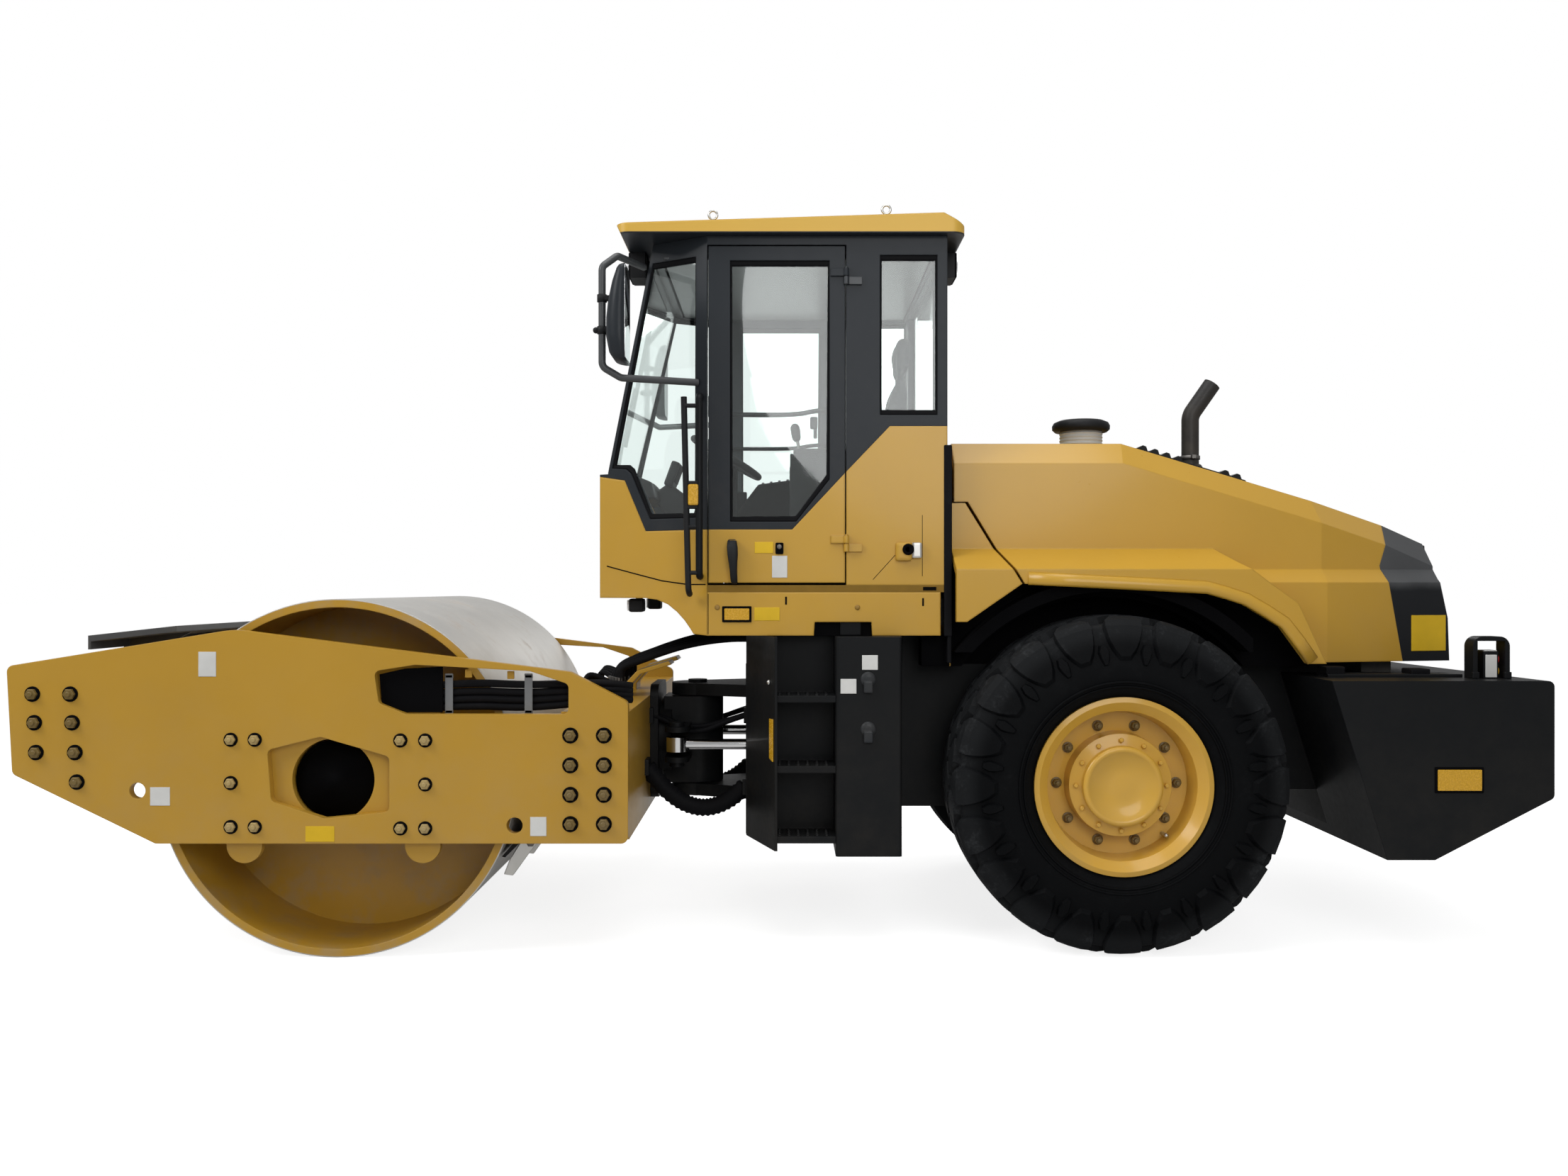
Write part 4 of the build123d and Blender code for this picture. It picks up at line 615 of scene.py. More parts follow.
def new_tree(name, *inputs):
    tree = bpy.data.node_groups.new(name, "GeometryNodeTree")
    tree.interface.new_socket("Geometry", in_out="INPUT", socket_type="NodeSocketGeometry")
    ids = {}
    for label, kind in inputs:
        ids[label] = tree.interface.new_socket(label, in_out="INPUT", socket_type=kind).identifier
    tree.interface.new_socket("Geometry", in_out="OUTPUT", socket_type="NodeSocketGeometry")
    start, end = tree.nodes.new("NodeGroupInput"), tree.nodes.new("NodeGroupOutput")
    return tree, start, end, ids


def chain(tree, kind, sockets, **settings):
    made = tree.nodes.new(kind)
    for key, value in settings.items():
        setattr(made, key, value)
    for key, value in sockets.items():
        if isinstance(value, bpy.types.NodeSocket):
            tree.links.new(value, made.inputs[key])
        else:
            made.inputs[key].default_value = value
    return made


def placing_tree():
    """Set a unit on every point, turned to the point's facing."""
    tree, start, end, ids = new_tree(
        "set_on_points", ("Unit", "NodeSocketObject"), ("Size", "NodeSocketFloat"),
        ("Finish", "NodeSocketMaterial")
    )
    facing = chain(tree, "GeometryNodeInputNamedAttribute", {"Name": "facing"}, data_type="FLOAT_VECTOR")
    turn = chain(tree, "FunctionNodeAlignRotationToVector", {"Vector": facing.outputs[0]}, axis="Z")
    unit = chain(tree, "GeometryNodeObjectInfo", {"Object": start.outputs["Unit"]})
    sockets = {"Points": start.outputs["Geometry"], "Instance": unit.outputs["Geometry"]}
    sockets.update({"Rotation": turn.outputs[0], "Scale": start.outputs["Size"]})
    placed = chain(tree, "GeometryNodeInstanceOnPoints", sockets)
    real = chain(tree, "GeometryNodeRealizeInstances", {"Geometry": placed.outputs[0]})
    dressed = chain(tree, "GeometryNodeSetMaterial",
                    {"Geometry": real.outputs[0], "Material": start.outputs["Finish"]})
    tree.links.new(dressed.outputs[0], end.inputs[0])
    return tree, ids


def ring_tree():
    """Repeat a unit in a ring about the machine's width."""
    tree, start, end, ids = new_tree(
        "ring_of_units", ("Unit", "NodeSocketObject"), ("Count", "NodeSocketInt"),
        ("Centre", "NodeSocketVector"),
        ("Finish", "NodeSocketMaterial"),
    )
    points = chain(tree, "GeometryNodePoints", {"Count": start.outputs["Count"]})
    index = chain(tree, "GeometryNodeInputIndex", {})
    part = chain(tree, "ShaderNodeMath", {0: index.outputs[0], 1: start.outputs["Count"]}, operation="DIVIDE")
    angle = chain(tree, "ShaderNodeMath", {0: part.outputs[0], 1: 2 * math.pi}, operation="MULTIPLY")
    spin = chain(tree, "ShaderNodeCombineXYZ", {"Y": angle.outputs[0]})
    unit = chain(tree, "GeometryNodeObjectInfo", {"Object": start.outputs["Unit"]})
    sockets = {"Points": points.outputs[0], "Instance": unit.outputs["Geometry"], "Rotation": spin.outputs[0]}
    placed = chain(tree, "GeometryNodeInstanceOnPoints", sockets)
    real = chain(tree, "GeometryNodeRealizeInstances", {"Geometry": placed.outputs[0]})
    moved = chain(tree, "GeometryNodeTransform", {"Geometry": real.outputs[0],
                                                  "Translation": start.outputs["Centre"]})
    dressed = chain(tree, "GeometryNodeSetMaterial",
                    {"Geometry": moved.outputs[0], "Material": start.outputs["Finish"]})
    tree.links.new(dressed.outputs[0], end.inputs[0])
    return tree, ids


PLACING, PLACING_IDS = placing_tree()
RING, RING_IDS = ring_tree()


def grown(carrier_mesh, tree, ids, **inputs):
    """Run a tree on a carrier and return the plain mesh it makes."""
    carrier = bpy.data.objects.new("carrier", carrier_mesh)
    bpy.context.scene.collection.objects.link(carrier)
    step = carrier.modifiers.new("grow", "NODES")
    step.node_group = tree
    for label, value in inputs.items():
        step[ids[label]] = value
    graph = bpy.context.evaluated_depsgraph_get()
    mesh = bpy.data.meshes.new_from_object(carrier.evaluated_get(graph))
    carrier.modifiers.clear()
    bpy.data.objects.remove(carrier)
    return mesh


def unit_object(name, maker):
    data = bpy.data.meshes.new(name)
    maker.mesh.to_mesh(data)
    maker.mesh.free()
    for finish in maker.finishes:
        data.materials.append(finish)
    return bpy.data.objects.new(name, data)


def set_out(unit, spots, finish, size=1.0):
    """Units on (place, facing) pairs, as one mesh."""
    points = bpy.data.meshes.new("points")
    points.from_pydata([place for place, facing in spots], [], [])
    attribute = points.attributes.new("facing", "FLOAT_VECTOR", "POINT")
    attribute.data.foreach_set("vector", [c for place, facing in spots for c in facing])
    return grown(points, PLACING, PLACING_IDS, Unit=unit, Size=size, Finish=finish)


def ringed(unit, count, centre, finish):
    """Units repeated round a wheel's or drum's axis, as one mesh."""
    return grown(bpy.data.meshes.new("seed"), RING, RING_IDS, Unit=unit, Count=count, Centre=centre,
                 Finish=finish)


def hex_bolt():
    """A hexagon head on a washer, a metre across its washer, standing on the XY plane."""
    made = Maker()
    made.turned([(0.5, 0.0), (0.5, 0.06), (0.47, 0.09), (0.34, 0.09)], (0, 0, 0), (0, 0, 1),
                charcoal_enamel, 20)
    made.turned([(0.36, 0.085), (0.36, 0.26), (0.31, 0.32), (0.1, 0.33)], (0, 0, 0), (0, 0, 1),
                charcoal_enamel, 6, False)
    return unit_object("hex_bolt", made)


def cap_screw():
    """A socket screw head, a metre across."""
    made = Maker()
    rim = [(0.5, 0.0), (0.5, 0.34), (0.46, 0.4), (0.28, 0.4), (0.26, 0.18), (0.05, 0.17)]
    made.turned(rim, (0, 0, 0), (0, 0, 1), charcoal_enamel, 18, False)
    return unit_object("cap_screw", made)


HEX_BOLT, CAP_SCREW = hex_bolt(), cap_screw()
LEFT, RIGHT, UP, DOWN, AHEAD, BACK = (0, 1, 0), (0, -1, 0), (0, 0, 1), (0, 0, -1), (1, 0, 0), (-1, 0, 0)


def both_sides(spots):
    return spots + [((x, -y, z), (a, -b, c)) for (x, y, z), (a, b, c) in spots]


def skin(*names):
    """A search tree over CAD nodes, to lay a piece on their surface."""
    verts, faces = [], []
    for name in names:
        data = nodes[name].data
        shift = len(verts)
        verts += [v.co.copy() for v in data.vertices]
        faces += [[shift + i for i in p.vertices] for p in data.polygons]
    return BVHTree.FromPolygons(verts, faces)


# Drive tyres: a carcass with a diamond block tread that wraps over the shoulders

TREAD_PITCHES = 20
LUG_DEPTH = 0.030
TYRE_FACE = [
    (0.0, 0.735), (0.06, 0.7345), (0.12, 0.733), (0.165, 0.731), (0.192, 0.726), (0.213, 0.712),
    (0.224, 0.692),
    (0.233, 0.668), (0.246, 0.63), (0.258, 0.594), (0.267, 0.556), (0.27, 0.52), (0.268, 0.485), (0.26, 0.45),
    (0.246, 0.418), (0.226, 0.39), (0.214, 0.386),
]


def tyre_line():
    """Points of the tyre's outer line with distance along it and outward normal."""
    rows, run = [], 0.0
    for i, (y, r) in enumerate(TYRE_FACE):
        if i:
            run += math.dist((y, r), TYRE_FACE[i - 1])
        before, after = TYRE_FACE[max(0, i - 1)], TYRE_FACE[min(len(TYRE_FACE) - 1, i + 1)]
        along = Vector((after[0] - before[0], after[1] - before[1])).normalized()
        rows.append((run, y, r, -along[1], along[0]))
    return rows


TYRE_ROWS = tyre_line()


def on_tyre(around, across, lift):
    """A point of the tread surface: around in metres at the crown, across along the tyre's line."""
    distance, side = abs(across), 1.0 if across >= 0 else -1.0
    for a, b in zip(TYRE_ROWS, TYRE_ROWS[1:]):
        if distance <= b[0] or b is TYRE_ROWS[-1]:
            t = min(1.0, (distance - a[0]) / (b[0] - a[0]))
            y, r, ny, nr = (a[k] + (b[k] - a[k]) * t for k in (1, 2, 3, 4))
            break
    y, r = y + ny * lift, r + nr * lift
    angle = around / TYRE_R
    return Vector((r * math.sin(angle), side * y, r * math.cos(angle)))


def lug_height(across):
    """Full on the crown, fading out down the sidewall."""
    return LUG_DEPTH * (1.0 - min(1.0, max(0.0, (abs(across) - 0.24) / 0.2)) * 0.72)


def tread_block(made, centre, start, end, widths):
    """One raised block: half widths at even steps from start to end across the tread."""
    steps = len(widths)
    rings = []
    for i, half in enumerate(widths):
        across = start + (end - start) * i / (steps - 1)
        inner = start + (end - start) * (0.08 + 0.84 * i / (steps - 1))
        depth = lug_height(across)
        top = max(half - 0.011, half * 0.6)
        rings.append([
            on_tyre(centre - half, across, -depth - 0.004),
            on_tyre(centre - top, inner, 0.0),
            on_tyre(centre, inner, 0.0),
            on_tyre(centre + top, inner, 0.0),
            on_tyre(centre + half, across, -depth - 0.004),
        ])
    made.solid(rings, tyre_black)


def tread_unit():
    made = Maker()
    pitch = 2 * math.pi * TYRE_R / TREAD_PITCHES
    diamond = [0.022, 0.058, 0.092, 0.058, 0.022]
    shoulder = [0.030, 0.066, 0.09, 0.094, 0.09, 0.082, 0.066, 0.036]
    tread_block(made, 0.0, -0.075, 0.075, diamond)
    for side in (1, -1):
        tread_block(made, pitch / 2, side * 0.02, side * 0.165, diamond)
        tread_block(made, 0.0, side * 0.112, side * 0.40, shoulder)
        tread_block(made, pitch / 2, side * 0.315, side * 0.415, [0.018, 0.034, 0.03, 0.014])
    return unit_object("tread_unit", made)


def carcass_profile():
    """The tyre under its tread, from bead to bead."""
    half = []
    for run, y, r, ny, nr in TYRE_ROWS:
        sink = lug_height(run) if run < 0.46 else 0.0
        half.append((r - nr * sink, y - ny * sink))
    return [(r, -y) for r, y in half[:0:-1]] + half


TREAD_UNIT = tread_unit()
for hand, side in (("left", 1), ("right", -1)):
    tyre = Maker()
    centre = (TYRE_X, side * TYRE_Y, TYRE_R)
    profile = [(0.372, -0.214)] + carcass_profile() + [(0.372, 0.214)]
    tyre.turned(profile, centre, LEFT, tyre_black, 96, loop=True)
    for ring_r, ring_y in ((0.452, 0.2625), (0.432, 0.2545)):
        for face in (1, -1):
            band = [(ring_r - 0.006, 0.0), (ring_r - 0.003, 0.004), (ring_r + 0.003, 0.004),
                    (ring_r + 0.006, 0.0)]
            tyre.turned(band, (TYRE_X, side * TYRE_Y + face * ring_y, TYRE_R), (0, face, 0), tyre_black, 72,
                        loop=True)
    tyre.take(ringed(TREAD_UNIT, TREAD_PITCHES, centre, tyre_black), tyre_black, False)
    tyre.done(f"tread_tyre_{hand}", f"wheel_{hand}", "tyre", [f"tyre_{hand}"])


# Wheel fittings: nuts, hub bolts, lock ring and valve

def wheel_nut():
    made = Maker()
    made.turned([(0.024, 0.0), (0.024, 0.006), (0.017, 0.008)], (0.262, 0, 0), LEFT, rim_enamel, 18)
    made.turned([(0.019, 0.005), (0.019, 0.026), (0.015, 0.03), (0.010, 0.03), (0.010, 0.044),
                 (0.004, 0.046)],
                (0.262, 0, 0), LEFT, dull_steel, 6, False)
    return unit_object("wheel_nut", made)


def hub_bolt():
    made = Maker()
    made.turned([(0.011, 0.0), (0.011, 0.008), (0.008, 0.011), (0.002, 0.011)], (0.196, 0, 0), LEFT,
                rim_enamel, 6, False)
    return unit_object("hub_bolt", made)


def rim_notch():
    made = Maker()
    made.block((0.372, 0.0, 0.0), (0.016, 0.006, 0.05), rim_enamel, 0.002)
    return unit_object("rim_notch", made)


def turned_over(unit, name):
    """The same unit facing the machine's right."""
    data = unit.data.copy()
    data.transform(Matrix.Rotation(math.pi, 4, "Z"))
    return bpy.data.objects.new(name, data)


WHEEL_NUT, HUB_BOLT, RIM_NOTCH = wheel_nut(), hub_bolt(), rim_notch()
for hand, side in (("left", 1), ("right", -1)):
    units = [WHEEL_NUT, HUB_BOLT, RIM_NOTCH]
    if side < 0:
        units = [turned_over(unit, unit.name + "_right") for unit in units]
    fittings = Maker()
    at = [(TYRE_X, side * (TYRE_Y + depth), TYRE_R) for depth in (0.086, 0.18, 0.228)]
    # Wheel nuts in yellow darkened to brown as painted shade of the rim's dish.
    fittings.take(ringed(units[0], 10, at[0], bolt_brown), bolt_brown, False)
    fittings.take(ringed(units[1], 12, at[1], rim_enamel), rim_enamel, False)
    fittings.take(ringed(units[2], 16, at[2], rim_enamel), rim_enamel, False)
    place = (TYRE_X, side * (TYRE_Y + 0.205), TYRE_R)
    fittings.turned([(0.172, 0.0), (0.172, 0.012), (0.15, 0.018), (0.146, 0.010), (0.05, 0.012),
                     (0.001, 0.014)],
                    place, (0, side, 0), rim_enamel, 48)
    stem = (TYRE_X - 0.2, side * (TYRE_Y + 0.09), TYRE_R - 0.22)
    fittings.turned([(0.007, 0.0), (0.007, 0.05), (0.010, 0.052), (0.010, 0.075), (0.002, 0.08)], stem,
                    (0, side, 0),
                    bright_steel, 12)
    fittings.done(f"wheel_fittings_{hand}", f"wheel_{hand}", "rim_paint")


# Front frame: bolted joints, blank plates, hoses behind the window

PLATE_Y = 1.15
FRONT_BOLTS = [(3.180, 1.138), (3.020, 1.138), (3.172, 1.017), (3.012, 1.017), (3.165, 0.891), (3.000, 0.891),
               (2.992, 0.766)]
REAR_BOLTS = [(x, z) for x in (0.904, 0.762) for z in (0.963, 0.837, 0.712, 0.588)]
CARRIER_BOLTS = [(2.341, 0.945), (2.239, 0.945), (2.341, 0.762), (2.341, 0.576), (2.239, 0.576),
                 (1.623, 0.942),
                 (1.518, 0.942), (1.518, 0.756), (1.623, 0.570), (1.518, 0.570)]


def bolt_seat():
    """A near-black ring of painted shadow that a bolt head stands in, a metre across."""
    made = Maker()
    made.turned([(0.5, 0.0), (0.5, 0.05), (0.46, 0.08), (0.2, 0.08)], (0, 0, 0), UP, charcoal_enamel, 20)
    return unit_object("bolt_seat", made)


def bolt_head():
    """A hexagon head with its stud end, sized to the metre shadow ring."""
    made = Maker()
    made.turned([(0.37, 0.06), (0.37, 0.26), (0.31, 0.32), (0.2, 0.32)], (0, 0, 0), UP, yellow_enamel, 6,
                False)
    made.turned([(0.17, 0.3), (0.17, 0.4), (0.13, 0.43), (0.02, 0.43)], (0, 0, 0), UP, yellow_enamel, 12)
    return unit_object("bolt_head", made)


BOLT_SHADOW_RING, BOLT_HEAD = bolt_seat(), bolt_head()
fixings = Maker()
# Front and rear bolt heads are yellow darkened to brown as painted shade.
for spots, size, head in ((FRONT_BOLTS, 0.066, bolt_brown), (REAR_BOLTS, 0.068, bolt_brown),
                          (CARRIER_BOLTS, 0.060, bolt_pale)):
    places = both_sides([((x, PLATE_Y, z), LEFT) for x, z in spots])
    # Painted shadow: a near-black ring round each bolt head.
    fixings.take(set_out(BOLT_SHADOW_RING, places, shade_black, size), shade_black)
    fixings.take(set_out(BOLT_HEAD, places, head, size), head, False)
fixings.done("plate_bolts", "front_frame", "yellow_paint")


def plate_at(made, x_from, x_to, z_from, z_to, face, finish, thick=0.003, bevel=0.0012):
    """A thin blank plate on a side face, given in the side view."""
    size = (abs(x_to - x_from), thick, abs(z_to - z_from))
    made.block(((x_from + x_to) / 2, face, (z_from + z_to) / 2), size, finish, bevel)


blanks = Maker()
plate_at(blanks, 2.403, 2.478, 1.212, 1.317, PLATE_Y, label_white)
plate_at(blanks, 2.598, 2.682, 0.666, 0.744, PLATE_Y, label_white)
plate_at(blanks, 1.005, 1.074, 0.537, 0.618, PLATE_Y, label_white)
plate_at(blanks, 1.902, 2.025, 0.513, 0.579, PLATE_Y, label_yellow)
blanks.mirrored()
blanks.done("front_blank_plates", "front_frame", "mirror_shell")


# Hose run along the left plate, clipped behind its window

hose_run = Maker()
for drop, reach in ((-0.022, 1.46), (0.012, 1.47), (0.044, 1.50), (0.076, 1.52)):
    route = [(reach, 1.088, 1.150 - drop), (1.32, 1.088, 1.162 - drop), (1.12, 1.088, 1.150 - drop),
             (0.92, 1.085, 1.158 - drop * 0.9), (0.74, 1.075, 1.165 - drop * 0.7),
             (0.66, 1.02, 1.150 - drop * 0.6)]
    hose_run.tube(route, 0.0165, hose_rubber)
hose_run.slab([(1.722, 1.220), (1.614, 1.244), (1.452, 1.252), (1.452, 1.058), (1.605, 1.058),
               (1.712, 1.090)], 1.112, 1.119,
              shade_black, 0.002)
for x, z in ((1.345, 1.222), (1.165, 1.216)):
    hose_run.block((x, 1.106, z), (0.030, 0.010, 0.034), yellow_enamel, 0.003)
for x in (1.428, 1.089):
    hose_run.block((x, 1.1075, 1.135), (0.034, 0.005, 0.175), grey_plastic, 0.002)
    for z in (1.21, 1.06):
        hose_run.block((x, 1.104, z), (0.034, 0.012, 0.016), grey_plastic, 0.003)
for side in (1, -1):
    hose_run.turned([(0.168, -0.004), (0.150, -0.012), (0.146, -0.058), (0.115, -0.060), (0.108, -0.030),
                     (0.060, -0.026), (0.001, -0.024)],
                    (1.92, side * 1.090, 0.77), (0, side, 0), shade_black, 40)
hose_run.done("window_hoses", "front_frame", "black_plastic")


# Tractor body: plates, reflectors and latches on the sides

def rim_plate(made, outline, face, depth, finish, rim, width=0.010):
    """A lens or plate in a raised rim, in the side view."""
    xs, zs = [p[0] for p in outline], [p[1] for p in outline]
    plate_at(made, min(xs) - width, max(xs) + width, min(zs) - width, max(zs) + width, face, rim, depth,
             0.003)
    plate_at(made, min(xs), max(xs), min(zs), max(zs), face + math.copysign(depth * 0.35, face), finish,
             depth, 0.003)


sides = Maker()
rim_plate(sides, [(-2.788, 0.722), (-2.976, 0.812)], 1.1, 0.012, amber_lens, shade_black)
rim_plate(sides, [(0.156, 1.443), (0.268, 1.495)], 0.800, 0.012, amber_lens, shade_black)
plate_at(sides, 0.019, 0.134, 1.440, 1.500, 0.800, label_yellow)
plate_at(sides, -0.345, -0.415, 1.225, 1.290, 0.900, label_white)
plate_at(sides, -0.250, -0.320, 1.120, 1.185, 0.900, label_white)
for z in (1.165, 0.945):
    sides.turned([(0.034, 0.0), (0.034, 0.006), (0.028, 0.012), (0.010, 0.014)], (-0.372, 0.897, z + 0.018),
                 LEFT,
                 cab_charcoal, 24)
    sides.block((-0.372, 0.912, z - 0.015), (0.040, 0.022, 0.052), cab_charcoal, 0.006)
sides.mirrored()
sides.done("side_blank_plates", "tractor", "dark_paint")


# Cab outside: window rubbers, door furniture, mirrors, lamps, roof eyes

CAB_MIDDLE = Vector((0.05, 0.0, 2.4))


def panes_of(node):
    """Each pane of a glass node: its outward normal and the ordered corners of its outer face."""
    work = bmesh.new()
    work.from_mesh(nodes[node].data)
    bmesh.ops.remove_doubles(work, verts=work.verts, dist=0.0002)
    left, found = set(work.faces), []
    while left:
        island, queue = set(), [next(iter(left))]
        while queue:
            face = queue.pop()
            if face not in island:
                island.add(face)
                queue += [other for edge in face.edges for other in edge.link_faces]
        left -= island
        middle = sum((f.calc_center_median() * f.calc_area() for f in island), Vector()) / sum(
            f.calc_area() for f in island)
        faces = [f for f in island if f.normal.dot(middle - CAB_MIDDLE) > 0]
        normal = max(faces, key=lambda f: f.calc_area()).normal.copy()
        spots = {tuple(v.co) for f in island if f.normal.dot(normal) > 0.99 for v in f.verts}
        across = normal.orthogonal().normalized()
        along = normal.cross(across)
        centre = sum((Vector(s) for s in spots), Vector()) / len(spots)

        def turn(spot):
            return math.atan2((Vector(spot) - centre).dot(along), (Vector(spot) - centre).dot(across))

        found.append((normal, [Vector(s) for s in sorted(spots, key=turn)]))
    work.free()
    return found


def window_rubber(made, node, width=0.020, depth=0.010):
    """A rubber strip with rounded edges round the outer face of every pane."""
    for normal, corners in panes_of(node):
        centre = sum(corners, Vector()) / len(corners)
        rings = []
        for spot in corners:
            inward = (centre - spot).normalized()
            section = [(-0.006, -0.002), (-0.006, depth * 0.6), (width * 0.25, depth),
                       (width * 0.8, depth * 0.8),
                       (width, 0.001), (width, -0.002)]
            rings.append([spot + inward * 1.3 * a + normal * b for a, b in section])
        made.solid(rings, hose_rubber, loop=True)


rubbers = Maker()
for glass in ("windscreen", "rear_window", "side_windows"):
    window_rubber(rubbers, glass)
rubbers.done("cab_window_rubbers", "tractor", "black_plastic")

HANDLE = [(1.806, 0.014, 0.806), (1.798, 0.020, 0.836), (1.770, 0.0235, 0.853), (1.735, 0.0225, 0.858),
          (1.700, 0.0185, 0.857), (1.665, 0.016, 0.853), (1.635, 0.0155, 0.845), (1.612, 0.015, 0.832),
          (1.604, 0.012, 0.806)]


def door_furniture(made, side):
    """Pull handle, lock and blank plates on a door's outer skin."""
    rings = []
    for z, half, out in HANDLE:
        lean = 0.228 + (z - 1.7) * 0.05
        rings.append([Vector((lean + a * half, side * y, z)) for a, y in
                      ((-1, 0.798), (-1, out - 0.006), (-0.6, out), (0.6, out), (1, out - 0.006),
                       (1, 0.798))])
    made.solid(rings, black_plastic, True)
    made.block((0.0205, side * 0.804, 1.765), (0.036, 0.012, 0.052), shade_black, 0.006)
    made.turned([(0.011, 0.0), (0.011, 0.006), (0.009, 0.008), (0.002, 0.008)], (0.0205, side * 0.809, 1.772),
                (0, side, 0), dull_steel, 16)
    plate_at(made, 0.132, 0.048, 1.743, 1.794, side * 0.8, label_yellow)
    plate_at(made, 0.054, -0.015, 1.633, 1.732, side * 0.8, label_white)
    made.tube([(0.305, side * 0.745, 2.375), (0.10, side * 0.735, 2.372), (-0.07, side * 0.735, 2.375),
               (-0.14, side * 0.738, 2.392), (-0.235, side * 0.75, 2.398)], 0.011, black_plastic)
    made.block((-0.135, side * 0.742, 2.335), (0.034, 0.030, 0.055), black_plastic, 0.008)
    made.block((-0.142, side * 0.742, 2.295), (0.016, 0.016, 0.06), black_plastic, 0.005)
    made.block((0.238, side * 0.750, 1.995), (0.056, 0.034, 0.27), shade_black, 0.008)
    for x, z in ((0.30, 2.375), (-0.235, 2.398)):
        made.turned([(0.018, 0.0), (0.018, 0.008), (0.014, 0.012), (0.004, 0.012)], (x, side * 0.768, z),
                    (0, -side, 0),
                    black_plastic, 16)


for hand, side in (("left", 1), ("right", -1)):
    door = Maker()
    window_rubber(door, f"door_{hand}_glass")
    door_furniture(door, side)
    door.done(f"door_furniture_{hand}", f"door_{hand}", "black_plastic")


# Mirrors: a shell that swells forward, with glass to the rear

MIRROR_RISE = [(2.572, 0.030, 0.080), (2.578, 0.052, 0.094), (2.610, 0.074, 0.104), (2.680, 0.088, 0.107),
               (2.760, 0.087, 0.107), (2.840, 0.078, 0.107), (2.920, 0.060, 0.106), (2.968, 0.044, 0.100),
               (2.984, 0.032, 0.092), (2.989, 0.018, 0.080)]
MIRROR_X, MIRROR_Y = 0.686, 0.962


def mirror_shell(made, side):
    rings = []
    for z, depth, half in MIRROR_RISE:
        ring = []
        for a, b in ((-1, 0.0), (-1, 0.45), (-0.86, 0.8), (-0.5, 0.97), (0, 1), (0.5, 0.97), (0.86, 0.8),
                     (1, 0.45), (1, 0)):
            ring.append(Vector((MIRROR_X + depth * b, side * (MIRROR_Y + half * a), z)))
        rings.append(ring)
    made.solid(rings, cab_charcoal, True)
    glass = []
    for z, depth, half in MIRROR_RISE[1:-1]:
        inner = half - 0.010
        glass.append([Vector((MIRROR_X - 0.0015, side * (MIRROR_Y + a * inner),
                              z + (0.006 if z < 2.6 else 0.0)))
                      for a in (-1, 0, 1)] +
                     [Vector((MIRROR_X + 0.002, side * (MIRROR_Y + a * inner),
                              z + (0.006 if z < 2.6 else 0.0)))
                      for a in (1, 0, -1)])
    made.solid(glass, mirror_silver)
    for z in (2.72, 2.86):
        made.turned([(0.012, 0.0), (0.022, 0.004), (0.022, 0.036), (0.012, 0.040)],
                    (0.8, side * 0.93, z - 0.02), UP,
                    black_plastic, 20)
        made.block((0.778, side * 0.935, z), (0.05, 0.026, 0.024), black_plastic, 0.005)
    made.turned([(0.014, 0.0), (0.014, 0.012), (0.009, 0.02), (0.003, 0.022)], (0.818, side * 0.93, 2.72),
                AHEAD,
                black_plastic, 14)


mirrors = Maker()
mirror_shell(mirrors, 1)
mirror_shell(mirrors, -1)
mirrors.done("mirror_shells", "tractor", "mirror_shell", ["mirrors"])


# Work lamps: bezel, ribbed body and clear lens

def lamp_front(made, x, y, z, way):
    made.block((x + way * 0.038, y, z), (0.012, 0.166, 0.116), shade_black, 0.005)
    made.block((x + way * 0.041, y, z), (0.010, 0.146, 0.096), clear_lens, 0.004)
    for side in (-1, 1):
        made.turned([(0.036, 0.0), (0.030, 0.006), (0.012, 0.009), (0.002, 0.009)],
                    (x + way * 0.044, y + side * 0.036, z),
                    (way, 0, 0), mirror_silver, 24)
    for step in range(5):
        made.block((x - way * 0.037, y - 0.06 + 0.03 * step, z), (0.014, 0.010, 0.096), black_plastic, 0.003)


lamps = Maker()
for x, way in ((0.69, 1), (-0.772, -1)):
    for y in (0.42, -0.42):
        lamp_front(lamps, x, y, 3.112, way)
lamps.done("work_lamp_fronts", "tractor", "black_plastic")


# Roof: lifting eyes

def lifting_eye():
    made = Maker()
    made.turned([(0.022, 0.0), (0.022, 0.006), (0.014, 0.012), (0.008, 0.012)], (0, 0, 0), UP, bright_steel,
                20)
    ring = []
    for step in range(24):
        angle = 2 * math.pi * step / 24
        outward = Vector((math.cos(angle), 0, math.sin(angle)))
        ring.append([Vector((0, 0, 0.034)) + outward * (0.019 + 0.0055 * math.cos(t)) + Vector((0,
                                                                                                0.0055 * math.sin(t), 0))
                     for t in [2 * math.pi * k / 8 for k in range(8)]])
    made.solid(ring, bright_steel, True, loop=True)
    return unit_object("lifting_eye", made)


ROOF_SKIN = skin("cab_roof")
roof = Maker()
eyes = [ROOF_SKIN.ray_cast(Vector((x, y, 4.0)), Vector((0, 0, -1)))[0] for x in (0.319,
                                                                                 -0.46) for y in (0.80,
                                                                                                  -0.80)]
roof.take(set_out(lifting_eye(), [(spot, UP) for spot in eyes], bright_steel), bright_steel)
roof.done("roof_lifting_eyes", "tractor", "steel")


# Hood: arch lip, louvred cowl, tail grille, intake and exhaust fittings

HOOD_SKIN = skin("hood_shell", "hood_tail", "fender_panels")


def side_y(x, z, side=1):
    """Where the hood's side stands at a point of the side view."""
    spot = HOOD_SKIN.ray_cast(Vector((x, side * 2.0, z)), Vector((0, -side, 0)))[0]
    return spot[1] if spot else side * 0.9


